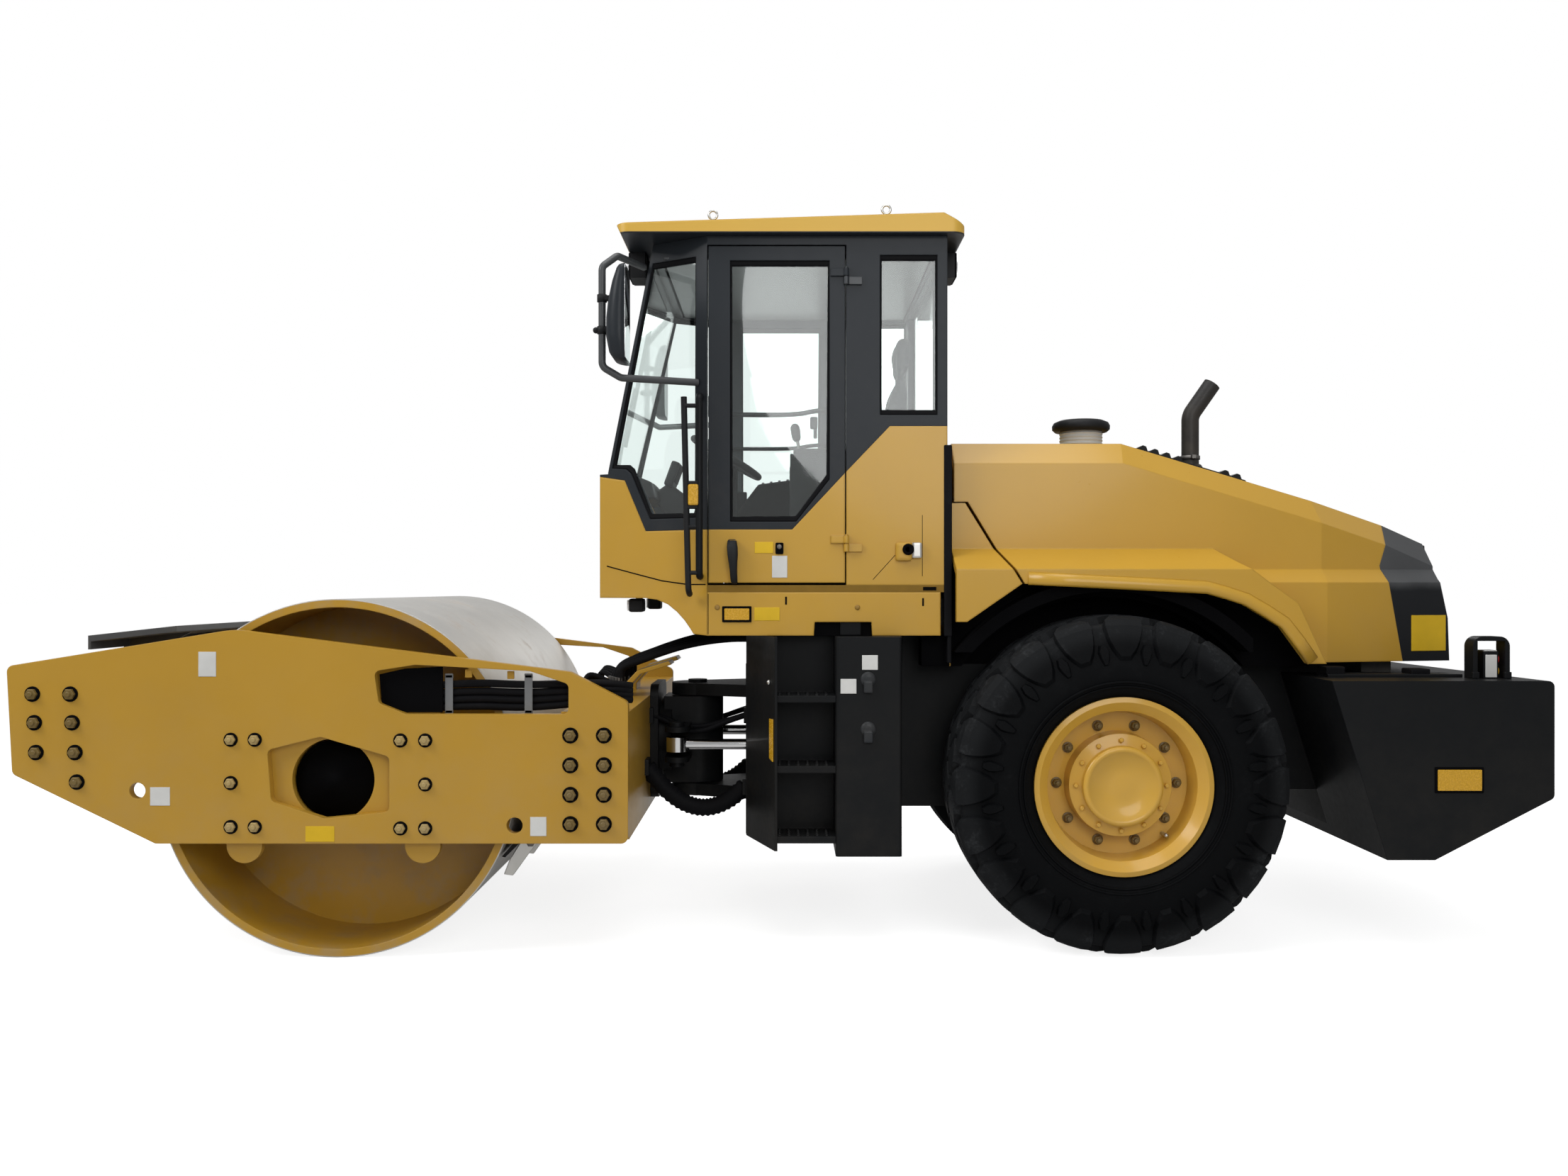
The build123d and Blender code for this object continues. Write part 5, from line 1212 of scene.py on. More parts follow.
def laid_plate(made, corners, finish, thick=0.003, side=1):
    """A thin plate that lies on the hood's side, given by its corners in the side view."""
    under = [Vector((x, side_y(x, z, side), z)) for x, z in corners]
    out = (under[1] - under[0]).cross(under[2] - under[0]).normalized()
    out *= math.copysign(thick, out[1] * side)
    made.solid([[p - out for p in under], [p + out for p in under]], finish, bevel=0.001)


ARCH_EDGE = [(-1.078, 1.6055), (-1.30, 1.594), (-1.60, 1.579), (-1.865, 1.565), (-1.95, 1.541),
             (-2.03, 1.515),
             (-2.115, 1.466), (-2.194, 1.415), (-2.256, 1.335), (-2.313, 1.252)]


def arch_lip(made, side):
    """A raised roll along the wheel opening."""
    rings = []
    for i, (x, z) in enumerate(ARCH_EDGE):
        before, after = ARCH_EDGE[max(0, i - 1)], ARCH_EDGE[min(len(ARCH_EDGE) - 1, i + 1)]
        along = Vector((after[0] - before[0], after[1] - before[1])).normalized()
        up = Vector((-along[1], along[0]))
        if up[1] < 0:
            up = -up
        section = [(-0.002, 0.896), (-0.004, 0.915), (0.006, 0.922), (0.030, 0.922), (0.046, 0.913),
                   (0.056, 0.9035)]
        rings.append([Vector((x + up[0] * a, side * b, z + up[1] * a)) for a, b in section])
    made.solid(rings, hood_enamel, True)


trim = Maker()
arch_lip(trim, 1)
trim.mirrored()
for side in (1, -1):
    laid_plate(trim, [(-2.875, 1.462), (-3.052, 1.462), (-3.052, 1.298), (-2.875, 1.298)], label_yellow,
               0.003, side)
trim.done("hood_trim", "hood", "hood_paint")


# Repeats in a row: one unit along a line, thinned by a step

def row_of(unit, start, step, count, finish):
    """Units at even steps from a start, as one mesh."""
    spots = [(Vector(start) + Vector(step) * i, UP) for i in range(count)]
    return set_out(unit, spots, finish)


def louvre():
    """One raised louvre blade of the cowl, lying across the hood."""
    made = Maker()
    section = [(-0.034, 0.0), (-0.026, 0.024), (-0.010, 0.030), (0.026, 0.012), (0.036, 0.0)]
    rings = [[Vector((x, y, z)) for x, z in section] for y in (-0.33, 0.33)]
    made.solid(rings, black_plastic, bevel=0.003)
    return unit_object("louvre", made)


def grille_slat():
    """One slat of the tail grille, tipped to shed rain."""
    made = Maker()
    section = [(0.0, -0.006), (-0.022, -0.014), (-0.024, -0.010), (-0.002, 0.004)]
    rings = [[Vector((x, y, z)) for x, z in section] for y in (-0.44, 0.44)]
    made.solid(rings, black_plastic)
    return unit_object("grille_slat", made)


COWL_SKIN = skin("hood_cowl")
slats = Maker()
blades = []
for i in range(9):
    x = -1.732 - 0.057 * i
    top = COWL_SKIN.ray_cast(Vector((x, 0.0, 4.0)), Vector((0, 0, -1)))[0]
    if top and abs(x + 2.01) > 0.07:
        blades.append(((x, 0.0, top[2] - 0.003), UP))
slats.take(set_out(louvre(), blades, black_plastic), black_plastic, False)
slats.take(row_of(grille_slat(), (-3.046, 0.0, 1.34), (0.0046, 0.0, 0.036), 12, black_plastic),
           black_plastic, False)
for y in (-0.455, 0.455):
    slats.block((-3.052, y, 1.54), (0.040, 0.030, 0.49), black_plastic, 0.008, Matrix.Rotation(0.127, 3, "Y"))
for x, z in ((-3.078, 1.300), (-3.022, 1.775)):
    slats.block((x, 0.0, z), (0.040, 0.94, 0.030), black_plastic, 0.008)
slats.block((-3.088, 0.0, 1.385), (0.024, 0.13, 0.060), dull_steel, 0.008)
slats.block((-3.104, 0.0, 1.375), (0.014, 0.10, 0.020), black_plastic, 0.005)
slats.done("hood_grilles", "hood", "hood_black")

stack = Maker()
INTAKE = (-1.44, 0.33, 2.25)
stack.turned([(0.094, 0.0), (0.1, 0.006), (0.1, 0.098), (0.09, 0.1)], INTAKE, UP, intake_grey, 40)
stack.turned([(0.09, 0.092), (0.124, 0.092), (0.137, 0.104), (0.138, 0.120), (0.130, 0.136), (0.105, 0.147),
              (0.05, 0.151),
              (0.001, 0.152)], INTAKE, UP, black_plastic, 40)
for step in range(5):
    stack.turned([(0.098, 0.0), (0.1025, 0.002), (0.1025, 0.007), (0.098, 0.009)],
                 (INTAKE[0], INTAKE[1], 2.262 + 0.016 * step),
                 UP, intake_grey, 40, True, True)
stack.done("intake_stack", "hood", "black_plastic", ["intake_cap"])

pipe = Maker()
foot = COWL_SKIN.ray_cast(Vector((-2.01, 0.30, 4.0)), Vector((0, 0, -1)))[0]
foot_z = foot[2] if foot else 2.25
pipe.turned([(0.074, -0.012), (0.074, 0.006), (0.060, 0.012), (0.052, 0.026), (0.041, 0.030)],
            (-2.01, 0.2, foot_z), UP,
            exhaust_black, 32)
pipe.turned([(0.041, 0.0), (0.0475, 0.002), (0.0475, 0.020), (0.041, 0.022)], (-2.01, 0.2, foot_z + 0.05),
            UP, dull_steel, 32,
            True, True)
pipe.block((-2.01, 0.255, foot_z + 0.061), (0.022, 0.030, 0.020), dull_steel, 0.003)
pipe.done("exhaust_foot", "hood", "hood_black")


# Cab lower sides: ledge, seams, catch, grab rail bar and lamps

CAB_SKIN = skin("cab_front_panel", "cab_sills", "cab_rear_panels", "cab_floor")


def cab_y(x, z):
    """Where the cab's left side stands at a point of the side view."""
    spot = CAB_SKIN.ray_cast(Vector((x, 2.0, z)), Vector((0, -1, 0)))[0]
    return spot[1] if spot else 0.8


def seam(made, spots, radius=0.0032):
    """A dark panel joint along the cab's side."""
    route = []
    for (x0, z0), (x1, z1) in zip(spots, spots[1:]):
        for step in range(12):
            x, z = x0 + (x1 - x0) * step / 12, z0 + (z1 - z0) * step / 12
            route.append((x, cab_y(x, z) - 0.001, z))
    route.append((spots[-1][0], cab_y(*spots[-1]) - 0.001, spots[-1][1]))
    made.tube(route, radius, shade_black, sides=8, steps=2, straight=True)


lower = Maker()
lower.block((-0.655, 0.800, 1.584), (0.060, 0.004, 0.016), shade_black, 0.0015)
lower.block((-0.266, 0.760, 1.405), (0.28, 0.030, 0.070), shade_black, 0.004)
lower.block((-0.300, 0.779, 1.405), (0.095, 0.012, 0.066), charcoal_enamel, 0.006)
seam(lower, [(0.835, 1.690), (0.70, 1.655), (0.56, 1.620), (0.437, 1.603), (0.352, 1.603)])
seam(lower, [(0.341, 1.560), (0.341, 1.380)], 0.002)
# Sill dots in yellow darkened as painted shade.
for x, z in ((0.300, 1.500), (-0.330, 1.500)):
    lower.turned([(0.012, 0.0), (0.012, 0.003), (0.008, 0.005), (0.002, 0.005)], (x, 0.799, z), LEFT,
                 ledge_yellow, 18)
for x, z in ((-0.009, 1.530), (-0.625, 1.524)):
    lower.block((x, 0.8, z), (0.008, 0.004, 0.036), shade_black, 0.0015)
lower.block((-0.538, 0.812, 1.750), (0.074, 0.030, 0.084), cab_enamel, 0.014)
lower.block((-0.596, 0.810, 1.756), (0.046, 0.026, 0.072), bright_steel, 0.010)
lower.turned([(0.026, 0.0), (0.026, 0.004), (0.018, 0.006), (0.012, 0.001), (0.002, 0.001)],
             (-0.556, 0.826, 1.760), LEFT,
             shade_black, 20)
for points in ([(-0.500, 1.735), (-0.40, 1.625)], [(-0.622, 1.915), (-0.622, 1.640)]):
    seam(lower, points, 0.0018)
lower.block((-0.737, 0.8015, 1.80), (0.036, 0.011, 0.86), hose_rubber, 0.005)
lower.block((-0.744, 0.760, 1.72), (0.018, 0.080, 0.94), hose_rubber, 0.004)
lower.tube([(0.447, 0.845, 2.440), (0.441, 0.85, 2.20), (0.434, 0.85, 1.90), (0.427, 0.85, 1.60),
            (0.426, 0.842, 1.572),
            (0.424, 0.80, 1.560)], 0.014, black_plastic)
for x, z in ((0.444, 2.400), (0.432, 1.860), (0.427, 1.655)):
    lower.tube([(x, 0.85, z), (0.372, 0.85, z)], 0.010, black_plastic, straight=True)
lower.block((0.404, 0.854, 2.002), (0.046, 0.040, 0.094), amber_lens, 0.008)
lower.block((0.404, 0.846, 1.948), (0.050, 0.034, 0.016), black_plastic, 0.004)
lower.block((0.404, 0.846, 2.056), (0.050, 0.034, 0.016), black_plastic, 0.004)
lower.block((0.700, 0.440, 1.505), (0.070, 0.110, 0.064), black_plastic, 0.012)
lower.block((0.738, 0.440, 1.505), (0.010, 0.094, 0.050), clear_lens, 0.004)
lower.block((0.690, 0.440, 1.548), (0.030, 0.040, 0.040), black_plastic, 0.004)
lower.block((-0.690, 0.662, 1.300), (0.130, 0.110, 0.140), shade_black, 0.006)
lower.mirrored()
lower.done("cab_lower_trim", "tractor", "black_plastic")


# Step reflectors, on the raked front plates

def on_rake(along, up, out):
    """A point on the left step's raked front plate: distance from its outer edge, height, and distance off it."""
    edge, inner = Vector((0.041, 0.9, 0)), Vector((0.178, 0.514, 0))
    way = (inner - edge).normalized()
    off = Vector((-way[1], way[0], 0))
    return edge + way * along + off * out + Vector((0, 0, up))


rake = Maker()
for low, high, start, end in ((0.816, 1.004, 0.020, 0.062),):
    corners = [(start, low), (end, low + 0.012), (end, high), (start, high)]
    rake.solid([[on_rake(a, b, -0.002) for a, b in corners], [on_rake(a, b, 0.006) for a, b in corners]],
               amber_lens, bevel=0.002)
rake.turned([(0.012, 0.0), (0.012, 0.006), (0.006, 0.012), (0.002, 0.012)], on_rake(0.075, 1.165, -0.001),
            (0.94, 0.334, 0), bright_steel, 16)
rake.mirrored()
rake.done("step_reflectors", "tractor", "black_plastic")


# Seat: each pad blown up a little by a cloth run

def evaluated(carrier):
    graph = bpy.context.evaluated_depsgraph_get()
    return bpy.data.meshes.new_from_object(carrier.evaluated_get(graph))


def stuffed(name, shapes, held, voxel=0.008, cap=0.024):
    """Join plain closed shapes into one even skin, swell it by air pressure, and cap how far any point moves."""
    carrier = unit_object(name + "_start", shapes)
    scene = bpy.context.scene
    scene.collection.objects.link(carrier)
    even = carrier.modifiers.new("even", "REMESH")
    even.mode = "VOXEL"
    even.voxel_size = voxel
    mesh = evaluated(carrier)
    carrier.modifiers.clear()
    carrier.data = mesh
    start = [v.co.copy() for v in mesh.vertices]
    group = carrier.vertex_groups.new(name="held")
    group.add([i for i, spot in enumerate(start) if held(spot)], 1.0, "REPLACE")
    swell = carrier.modifiers.new("swell", "CLOTH")
    swell.settings.use_pressure = True
    swell.settings.uniform_pressure_force = 4.0
    swell.settings.effector_weights.gravity = 0.0
    swell.settings.vertex_group_mass = "held"
    swell.settings.quality = 4
    swell.point_cache.frame_start = 1
    swell.point_cache.frame_end = 20
    for number in range(1, 21):
        scene.frame_set(number)
    blown = evaluated(carrier)
    carrier.modifiers.clear()
    scene.frame_set(1)
    for vertex, begin, end in zip(mesh.vertices, start, blown.vertices):
        move = end.co - begin
        if move.length > cap:
            move *= cap / move.length
        vertex.co = begin + move
    bpy.data.meshes.remove(blown)
    finer = carrier.modifiers.new("finer", "SUBSURF")
    finer.levels = finer.render_levels = 1
    mesh = evaluated(carrier)
    carrier.modifiers.clear()
    bpy.data.objects.remove(carrier)
    for face in mesh.polygons:
        face.use_smooth = True
    return mesh


def seat_pad(name, mesh, node):
    mesh.materials.clear()
    mesh.materials.append(seat_cloth)
    piece = settle(name, mesh, "tractor", [node])
    return piece


(SEAT_LOW, SEAT_HIGH), (BACK_LOW, BACK_HIGH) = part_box("seat_cushion"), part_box("seat_back")


def cushion_shapes():
    made = Maker()
    middle, deep = (SEAT_LOW[0] + SEAT_HIGH[0]) / 2, SEAT_HIGH[0] - SEAT_LOW[0] - 0.03
    low, high = SEAT_LOW[2] + 0.002, SEAT_HIGH[2]
    made.block((middle, 0.0, (low + high) / 2 - 0.010), (deep, 0.34, high - low - 0.030), seat_cloth, 0.016)
    for side in (1, -1):
        made.block((middle, side * 0.196, (low + high) / 2 - 0.004), (deep, 0.076, high - low - 0.016),
                   seat_cloth, 0.022)
    made.block((SEAT_HIGH[0] - 0.040, 0.0, (low + high) / 2 - 0.008), (0.050, 0.40, high - low - 0.024),
               seat_cloth, 0.018)
    return made


def back_spot(z):
    """Front and rear faces of the CAD back at a height."""
    share = (z - BACK_LOW[2]) / (BACK_HIGH[2] - BACK_LOW[2])
    front = BACK_HIGH[0] - 0.056 * share
    return front, front - BACK_DEEP


BACK_DEEP = (BACK_HIGH[0] - BACK_LOW[0]) - 0.056
BACK_ROWS = [(0.012, 0.195, 0.9), (0.16, 0.220, 1.0), (0.34, 0.226, 1.0), (0.50, 0.216, 1.0),
             (0.61, 0.196, 0.95),
             (0.675, 0.160, 0.8)]
HEAD_ROWS = [(0.715, 0.112, 0.8), (0.745, 0.130, 0.95), (0.82, 0.134, 1.0), (0.875, 0.126, 0.95),
             (0.900, 0.096, 0.7)]


def back_shapes():
    made = Maker()
    for rows, sink in ((BACK_ROWS, 0.012), (HEAD_ROWS, 0.010)):
        rings = []
        for rise, half, fill in rows:
            z = BACK_LOW[2] + rise
            front, rear = back_spot(z)
            middle, deep = (front + rear) / 2, (front - rear) / 2 * fill - sink
            ring = [(deep * 0.6, 1), (deep, 0.86), (deep * 0.72, 0.5), (deep * 0.72, -0.5), (deep, -0.86),
                    (deep * 0.6, -1),
                    (-deep, -0.86), (-deep, 0.86)]
            rings.append([Vector((middle + a, half * b, z)) for a, b in ring])
        made.solid(rings, seat_cloth)
    neck = BACK_LOW[2] + 0.695
    front, rear = back_spot(neck)
    made.block(((front + rear) / 2, 0.0, neck), (0.030, 0.16, 0.06), seat_cloth, 0.004)
    return made


cushion_mesh = stuffed("seat_pad", cushion_shapes(), lambda spot: spot[2] < SEAT_LOW[2] + 0.012)
back_mesh = stuffed("back_pad", back_shapes(), lambda spot: spot[0] < back_spot(spot[2])[1] + 0.016)
seat_pad("seat_pad", cushion_mesh, "seat_cushion")
seat_pad("back_pad", back_mesh, "seat_back")


# Sewn channels and piping on the pads

def pad_skin(mesh):
    return BVHTree.FromPolygons([v.co.copy() for v in mesh.vertices],
                                [list(p.vertices) for p in mesh.polygons])


def sewn(made, tree, spots, way, radius=0.0035):
    """A cord of piping laid on a pad, where rays along a direction meet it."""
    route = []
    for spot in spots:
        hit = tree.ray_cast(Vector(spot) - Vector(way) * 0.4, Vector(way))[0]
        if hit:
            route.append(hit)
    if len(route) > 2:
        made.tube(route, radius, shade_black, sides=8, steps=3)


stitching = Maker()
seat_tree, back_tree = pad_skin(cushion_mesh), pad_skin(back_mesh)
for x in (-0.13, -0.22, -0.31, -0.40):
    sewn(stitching, seat_tree, [(x, -0.15 + 0.03 * i, 2.0) for i in range(11)], DOWN, 0.0025)
for side in (1, -1):
    sewn(stitching, seat_tree, [(-0.06 - 0.038 * i, side * 0.160, 2.0) for i in range(11)], DOWN)
    sewn(stitching, back_tree, [(-0.55, side * 0.125, 2.12 + 0.040 * i) for i in range(11)], BACK)
for z in (2.20, 2.30, 2.40, 2.50):
    sewn(stitching, back_tree, [(-0.55, -0.115 + 0.023 * i, z) for i in range(11)], BACK, 0.0025)
stitching.done("seat_piping", "tractor", "seat_fabric")


# Cab inside: lining, floor mat, consoles, levers, pedals and dash

inside = Maker()
inside.block((-0.060, 0.0, 3.098), (1.22, 1.38, 0.014), arm_grey, 0.004)
inside.block((-0.10, 0.0, 1.604), (1.02, 1.30, 0.010), hose_rubber, 0.003)
inside.slab([(-0.60, 1.612), (0.27, 1.612), (0.27, 1.98), (0.14, 2.15), (-0.46, 2.23), (-0.60, 2.23)],
            -0.44, -0.68,
            shade_black, 0.014)
inside.slab([(-0.60, 1.612), (-0.10, 1.612), (-0.10, 1.86), (-0.30, 1.98), (-0.60, 1.98)], 0.44, 0.66,
            shade_black, 0.014)
for step in range(6):
    inside.block((0.115 - 0.045 * step, -0.55, 2.158 + 0.006 * step), (0.014, 0.11, 0.012), grey_plastic,
                 0.003,
                 Matrix.Rotation(0.13, 3, "Y"))
for side in (1, -1):
    inside.block((-0.245, side * 0.35, 2.243), (0.40, 0.092, 0.030), black_plastic, 0.013)
inside.turned([(0.040, 0.0), (0.036, 0.020), (0.026, 0.034), (0.016, 0.044)], (-0.085, -0.35, 2.256), UP,
              hose_rubber, 20)
inside.tube([(-0.085, -0.35, 2.29), (-0.080, -0.35, 2.345), (-0.070, -0.35, 2.385)], 0.009, dull_steel)
inside.turned([(0.012, 0.0), (0.022, 0.012), (0.026, 0.050), (0.024, 0.080), (0.014, 0.094), (0.002, 0.098)],
              (-0.070, -0.35, 2.372), (0.15, 0, 1), black_plastic, 20)
inside.turned([(0.030, 0.0), (0.026, 0.014), (0.014, 0.024), (0.002, 0.026)], (-0.33, -0.55, 2.208), UP,
              black_plastic, 18)
inside.tube([(-0.33, -0.55, 2.22), (-0.32, -0.55, 2.32)], 0.008, dull_steel, straight=True)
inside.turned([(0.006, 0.0), (0.020, 0.008), (0.022, 0.030), (0.012, 0.042), (0.002, 0.044)],
              (-0.32, -0.55, 2.31), UP,
              black_plastic, 18)

inside.slab([(0.62, 2.02), (0.80, 2.02), (0.79, 2.11), (0.74, 2.14), (0.64, 2.10)], -0.36, 0.36,
            black_plastic, 0.012)
inside.block((0.56, 0.0, 2.16), (0.045, 0.24, 0.13), black_plastic, 0.012, Matrix.Rotation(-0.35, 3, "Y"))
inside.block((0.538, 0.0, 2.164), (0.012, 0.20, 0.095), shade_black, 0.004, Matrix.Rotation(-0.35, 3, "Y"))
inside.slab([(0.50, 1.95), (0.60, 1.95), (0.66, 2.06), (0.58, 2.12), (0.50, 2.06)], -0.07, 0.07,
            black_plastic, 0.010)
for y in (0.20, -0.20):
    inside.block((0.52, y, 1.700), (0.020, 0.090, 0.150), dull_steel, 0.005, Matrix.Rotation(0.55, 3, "Y"))
    inside.tube([(0.545, y, 1.735), (0.60, y, 1.80), (0.66, y, 1.86)], 0.011, black_plastic)
    for step in range(5):
        inside.block((0.507 - 0.013 * (step - 2), y, 1.700 + 0.021 * (step - 2)), (0.006, 0.082, 0.007),
                     hose_rubber, 0.002,
                     Matrix.Rotation(0.55, 3, "Y"))
inside.block((0.40, -0.60, 2.60), (0.040, 0.16, 0.11), black_plastic, 0.010, Matrix.Rotation(0.5, 3, "Z"))
inside.done("cab_fittings", "tractor", "black_plastic")


# Steering joint: hose bundle over the pivot, sagging hose below it, guide bracket and manifolds

def corrugated(made, points, radius, finish, rings=44):
    """A ribbed hose along a smooth line through three points."""
    a, b, c = (Vector(p) for p in points)
    rows = []
    for step in range(rings + 1):
        t = step / rings
        spot = a * (1 - t) ** 2 + b * 2 * t * (1 - t) + c * t * t
        along = ((b - a) * (1 - t) + (c - b) * t).normalized()
        side = along.cross(Vector((0, 1, 0))).normalized()
        over = side.cross(along)
        wide = radius * (1.0 if step % 2 else 0.86)
        rows.append([spot + (side * math.cos(q) + over * math.sin(q)) * wide for q in
                     [2 * math.pi * k / 16 for k in range(16)]])
    made.solid(rows, finish, True)


crossing = Maker()
for side in (1, -1):
    for k in range(4):
        y = side * (0.150 + 0.042 * k)
        lift = 0.010 * ((k * 2) % 3) - 0.008
        crossing.tube([(0.860 - 0.02 * k, y, 1.075), (0.855 - 0.02 * k, y, 1.16), (0.800, y, 1.205 + lift),
                       (0.700, y, 1.240 + lift),
                       (0.605, y, 1.276 + lift), (0.480, y * 0.98, 1.315 + lift),
                       (0.340, y * 0.97, 1.340 + lift),
                       (0.200, y * 0.96, 1.350 + lift), (0.070, y * 0.95, 1.330), (0.030, y * 0.95, 1.230),
                       (0.060, y * 0.95, 1.130)], 0.017, hose_rubber, steps=6)
    corrugated(crossing, [(0.655, side * 0.420, 0.735), (0.420, side * 0.420, 0.395),
                          (0.185, side * 0.400, 0.640)], 0.044, hose_rubber)
    for k in range(2):
        y = side * (0.170 + 0.05 * k)
        crossing.tube([(0.665, y, 0.960), (0.600, y, 0.950), (0.520, y * 0.96, 0.905 - 0.02 * k),
                       (0.400, y * 0.95, 0.895 - 0.02 * k),
                       (0.280, y * 0.96, 0.930), (0.185, y, 0.960)], 0.013, hose_rubber, steps=6)
hoses = crossing.done("steering_hoses", None, "black_plastic")
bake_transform(hoses)

ends = Maker()
ends.slab([(0.795, 1.058), (0.795, 1.100), (0.715, 1.185), (0.560, 1.232), (0.548, 1.214), (0.700, 1.168),
           (0.765, 1.094),
           (0.765, 1.058)], 0.120, 0.310, yellow_enamel, 0.004)
ends.block((0.850, 0.213, 1.080), (0.130, 0.190, 0.045), charcoal_enamel, 0.006)
for k in range(4):
    y = 0.150 + 0.042 * k
    ends.turned([(0.021, 0.0), (0.021, 0.022), (0.018, 0.026), (0.018, 0.050), (0.010, 0.052)],
                (0.860 - 0.02 * k, y, 1.098), UP,
                dull_steel, 6, False)
    ends.tube([(0.880 - 0.02 * k, y, 1.105), (0.93, y + 0.02, 1.15 + 0.01 * k), (0.975, y + 0.05, 1.14),
               (0.985, y + 0.06, 1.05)],
              0.013, hose_rubber, steps=6)
for z in (0.960, 0.735):
    ends.block((0.652, 0.200 if z > 0.9 else 0.420, z), (0.022, 0.12, 0.075), charcoal_enamel, 0.004)
ends.mirrored()
ends.done("front_hose_ends", "front_frame", "yellow_paint")

bay = Maker()
bay.block((0.105, 0.205, 1.115), (0.070, 0.200, 0.075), charcoal_enamel, 0.006)
for z, y in ((0.960, 0.195), (0.640, 0.400)):
    bay.block((0.187, y, z), (0.022, 0.12, 0.075), charcoal_enamel, 0.004)
bay.mirrored()
bay.done("rear_hose_ends", "tractor", "dark_paint")


# Scraper holders behind the drum

def scraper_holder(made, y):
    made.slab([(1.060, 0.500), (1.120, 0.530), (1.200, 0.400), (1.225, 0.335), (1.185, 0.330),
               (1.120, 0.420)], y - 0.012, y + 0.012,
              bright_steel, 0.004)
    made.turned([(0.020, -0.016), (0.020, 0.028), (0.012, 0.034), (0.002, 0.034)], (1.105, y, 0.478), LEFT,
                dull_steel, 6, False)


scrape = Maker()
scraper_holder(scrape, 0.955)
scraper_holder(scrape, 0.480)
scrape.mirrored()
scraper_holder(scrape, 0.0)
scrape.done("scraper_holders", "front_frame", "steel")


# Tail: lamps in their hoops, hood latch, skirt, tow hitch and counterweight fittings

tail = Maker()
for z, finish in ((1.222, amber_lens), (1.275, red_lens)):
    tail.turned([(0.026, -0.004), (0.026, 0.006), (0.020, 0.012), (0.002, 0.013)], (-3.1275, 0.922, z),
                BACK, finish, 24)
tail.block((-3.0955, 0.9565, 1.245), (0.050, 0.006, 0.100), intake_grey, 0.003)
tail.block((-3.0955, 0.922, 1.312), (0.056, 0.060, 0.006), intake_grey, 0.002)
for x in (-3.025, -3.166):
    tail.block((x, 0.9605, 1.205), (0.030, 0.012, 0.030), charcoal_enamel, 0.003)
for y in (0.62, 0.20):
    tail.turned([(0.030, 0.0), (0.030, 0.010), (0.024, 0.016), (0.002, 0.017)], (-3.289, y, 1.02), BACK,
                red_lens, 28)
tail.block((-3.286, 0.80, 0.98), (0.012, 0.22, 0.10), charcoal_enamel, 0.006)
tail.turned([(0.020, 0.0), (0.020, 0.006), (0.014, 0.010), (0.002, 0.010)], (-3.289, 0.92, 1.10), BACK,
            dull_steel, 6, False)
tail.slab([(-2.42, 1.188), (-3.02, 1.188), (-3.02, 1.204), (-2.42, 1.204)], 0.735, 0.862, charcoal_enamel,
          0.003)
tail.block((-2.46, 0.80, 1.218), (0.085, 0.10, 0.036), hose_rubber, 0.006)
tail.block((-2.84, 0.80, 1.214), (0.085, 0.10, 0.024), hose_rubber, 0.006)
tail.mirrored()
tail.block((-3.294, 0.0, 0.800), (0.016, 0.34, 0.24), charcoal_enamel, 0.006)
for y in (0.055, -0.055):
    tail.slab([(-3.285, 0.87), (-3.335, 0.85), (-3.352, 0.80), (-3.335, 0.75), (-3.285, 0.73)], y - 0.014,
              y + 0.014, charcoal_enamel,
              0.004)
tail.turned([(0.016, -0.085), (0.016, 0.085)], (-3.322, 0.0, 0.80), LEFT, bright_steel, 20)
tail.tube([(-3.322, 0.085, 0.80), (-3.322, 0.105, 0.815), (-3.322, 0.105, 0.865)], 0.006, bright_steel)
for y in (0.135, -0.135):
    for z in (0.88, 0.72):
        tail.turned([(0.018, 0.0), (0.018, 0.010), (0.013, 0.014), (0.002, 0.014)], (-3.301, y, z), BACK,
                    dull_steel, 6, False)
tail.done("tail_fittings", "tractor", "dark_paint")


# Skirt under the hood's tail

SKIRT = [(-3.050, 1.480), (-3.094, 1.415), (-3.108, 1.330), (-3.108, 1.300), (-3.066, 1.300), (-3.052, 1.400)]
skirt = Maker()
skirt.slab(SKIRT, -0.46, 0.46, arm_grey, 0.010)
skirt.done("hood_skirt", "hood", "hood_black")


# Wipers and step grips

def on_screen(share, y, out):
    """A point on the raked windscreen: share of its height, distance from the middle, distance off it."""
    foot, head = Vector((0.830, y, 2.130)), Vector((0.603, y, 3.172))
    off = Vector((head[2] - foot[2], 0.0, foot[0] - head[0])).normalized()
    return foot + (head - foot) * share + off * out


wiper = Maker()
wiper.turned([(0.024, -0.006), (0.024, 0.016), (0.016, 0.024), (0.002, 0.025)],
             on_screen(0.0, -0.06, 0.016), AHEAD, black_plastic, 20)
wiper.tube([on_screen(0.01, -0.06, 0.034), on_screen(0.10, -0.035, 0.040), on_screen(0.30, 0.03, 0.034),
            on_screen(0.44, 0.075, 0.026)],
           0.007, black_plastic)
wiper.tube([on_screen(0.16, 0.055, 0.020), on_screen(0.44, 0.075, 0.020), on_screen(0.74, 0.098, 0.020)],
           0.006, black_plastic)
wiper.tube([on_screen(0.16, 0.055, 0.011), on_screen(0.44, 0.075, 0.011), on_screen(0.74, 0.098, 0.011)],
           0.0075, hose_rubber)
wiper.done("front_wiper", "tractor", "black_plastic")


def grip_ring():
    """One raised grip of a step, a small punched ring."""
    made = Maker()
    made.turned([(0.012, -0.001), (0.010, 0.004), (0.007, 0.004), (0.0055, -0.001)], (0, 0, 0), UP,
                charcoal_enamel, 10, False, True)
    return unit_object("grip_ring", made)


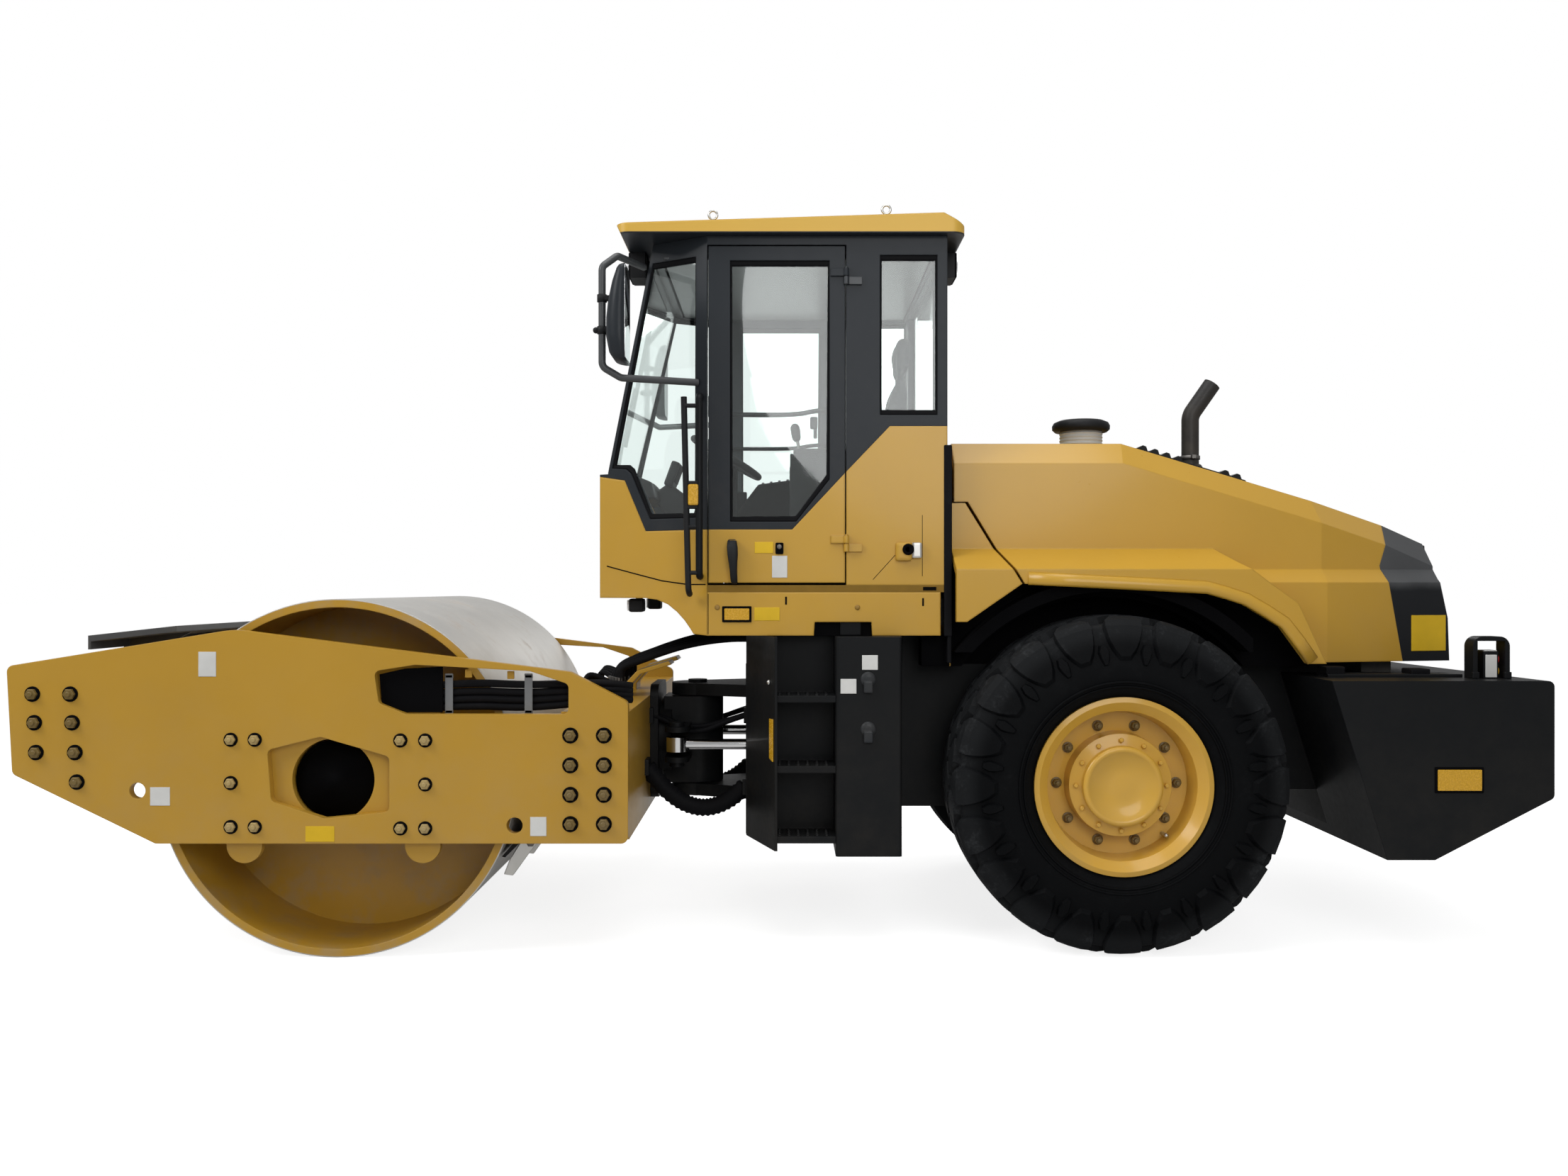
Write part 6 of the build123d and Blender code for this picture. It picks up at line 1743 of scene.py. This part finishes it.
STEP_SKIN = skin("steps")
grips = []
for height in (0.456, 0.768, 1.08):
    for row in range(4):
        for step in range(6):
            x, y = 0.020 - 0.042 * step, 0.735 + 0.042 * row
            spot = STEP_SKIN.ray_cast(Vector((x, y, height + 0.12)), Vector((0, 0, -1)))[0]
            if spot and abs(spot[2] - height) < 0.06:
                grips.append(((x, y, spot[2]), UP))
treads = Maker()
treads.take(set_out(grip_ring(), both_sides(grips), charcoal_enamel), charcoal_enamel, False)
treads.done("step_grips", "tractor", "dark_paint")


# Studio: pale floor, white surround, soft light, and a camera where the photograph was taken

def studio():
    scene = bpy.context.scene
    scene.view_settings.view_transform = "Standard"
    world = bpy.data.worlds.new("studio")
    scene.world = world
    world.use_nodes = True
    tree = world.node_tree
    tree.nodes.clear()
    ray = tree.nodes.new("ShaderNodeLightPath")
    seen = Tone(tree, ray.outputs["Is Camera Ray"]) + Tone(tree, ray.outputs["Is Transmission Ray"])
    seen = (seen + Tone(tree, ray.outputs["Is Glossy Ray"]) * MIRRORED).clipped()
    sky = tree.nodes.new("ShaderNodeBackground")
    sky.inputs["Color"].default_value = (1.0, 1.0, 1.0, 1.0)
    feed(tree, sky.inputs["Strength"], seen * (1.0 - SKY_LIGHT) + SKY_LIGHT)
    end = tree.nodes.new("ShaderNodeOutputWorld")
    tree.links.new(sky.outputs[0], end.inputs["Surface"])

    floor_mesh = bpy.data.meshes.new("floor")
    reach = 120.0
    corners = [(-reach, -reach), (reach, -reach), (reach, reach), (-reach, reach)]
    floor_mesh.from_pydata([(x, y, FLOOR_Z) for x, y in corners], [], [(0, 1, 2, 3)])
    floor = bpy.data.objects.new("floor", floor_mesh)
    scene.collection.objects.link(floor)
    paper = Finish("studio_paper", (0.5, 0.5, 0.5), 0.9)
    ray = paper.tree.nodes.new("ShaderNodeLightPath")
    seen = Tone(paper.tree, ray.outputs["Is Camera Ray"]) + Tone(paper.tree,
                                                                 ray.outputs["Is Transmission Ray"])
    seen = (seen + Tone(paper.tree, ray.outputs["Is Glossy Ray"]) * MIRRORED).clipped()
    glow = paper.mix(seen * FLOOR_GLOW, (0.0, 0.0, 0.0), (1.0, 1.0, 1.0))
    paper.put(**{"Emission Color": glow, "Emission Strength": 1.0})
    floor_mesh.materials.append(paper.done())
    floor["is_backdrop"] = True

    for name, place, aim, size, power in LAMPS:
        data = bpy.data.lights.new(name, "AREA")
        data.shape = "DISK"
        data.size = size
        data.energy = power
        lamp = bpy.data.objects.new(name, data)
        scene.collection.objects.link(lamp)
        lamp.location = place
        lamp.rotation_euler = (Vector(aim) - Vector(place)).to_track_quat("-Z", "Y").to_euler()

    shot = bpy.data.cameras.new("camera")
    shot.sensor_width = 36.0
    shot.lens = 36.0 * PHOTO_FOCAL / PHOTO_WIDTH
    camera = bpy.data.objects.new("camera", shot)
    scene.collection.objects.link(camera)
    camera.location = (0.0, 6.75, 1.587)
    camera.rotation_euler = (math.radians(90.0), 0.0, math.radians(180.0))
    scene.camera = camera


PHOTO_WIDTH, PHOTO_FOCAL = 2212, 1867
SKY_LIGHT, FLOOR_GLOW, FLOOR_Z = 0.32, 0.82, -0.001
MIRRORED = 0.16
LAMPS = [
    ("key", (8.0, 4.5, 7.5), (0.0, 0.0, 1.4), 5.0, 470.0),
    ("fill", (-2.0, 9.0, 4.5), (-0.3, 0.0, 1.4), 5.0, 235.0),
    ("top", (0.0, 1.5, 9.0), (0.0, 0.0, 1.0), 7.0, 380.0),
    ("back", (-3.0, -8.0, 5.0), (0.0, 0.0, 1.3), 5.0, 140.0),
]
studio()

low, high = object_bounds()
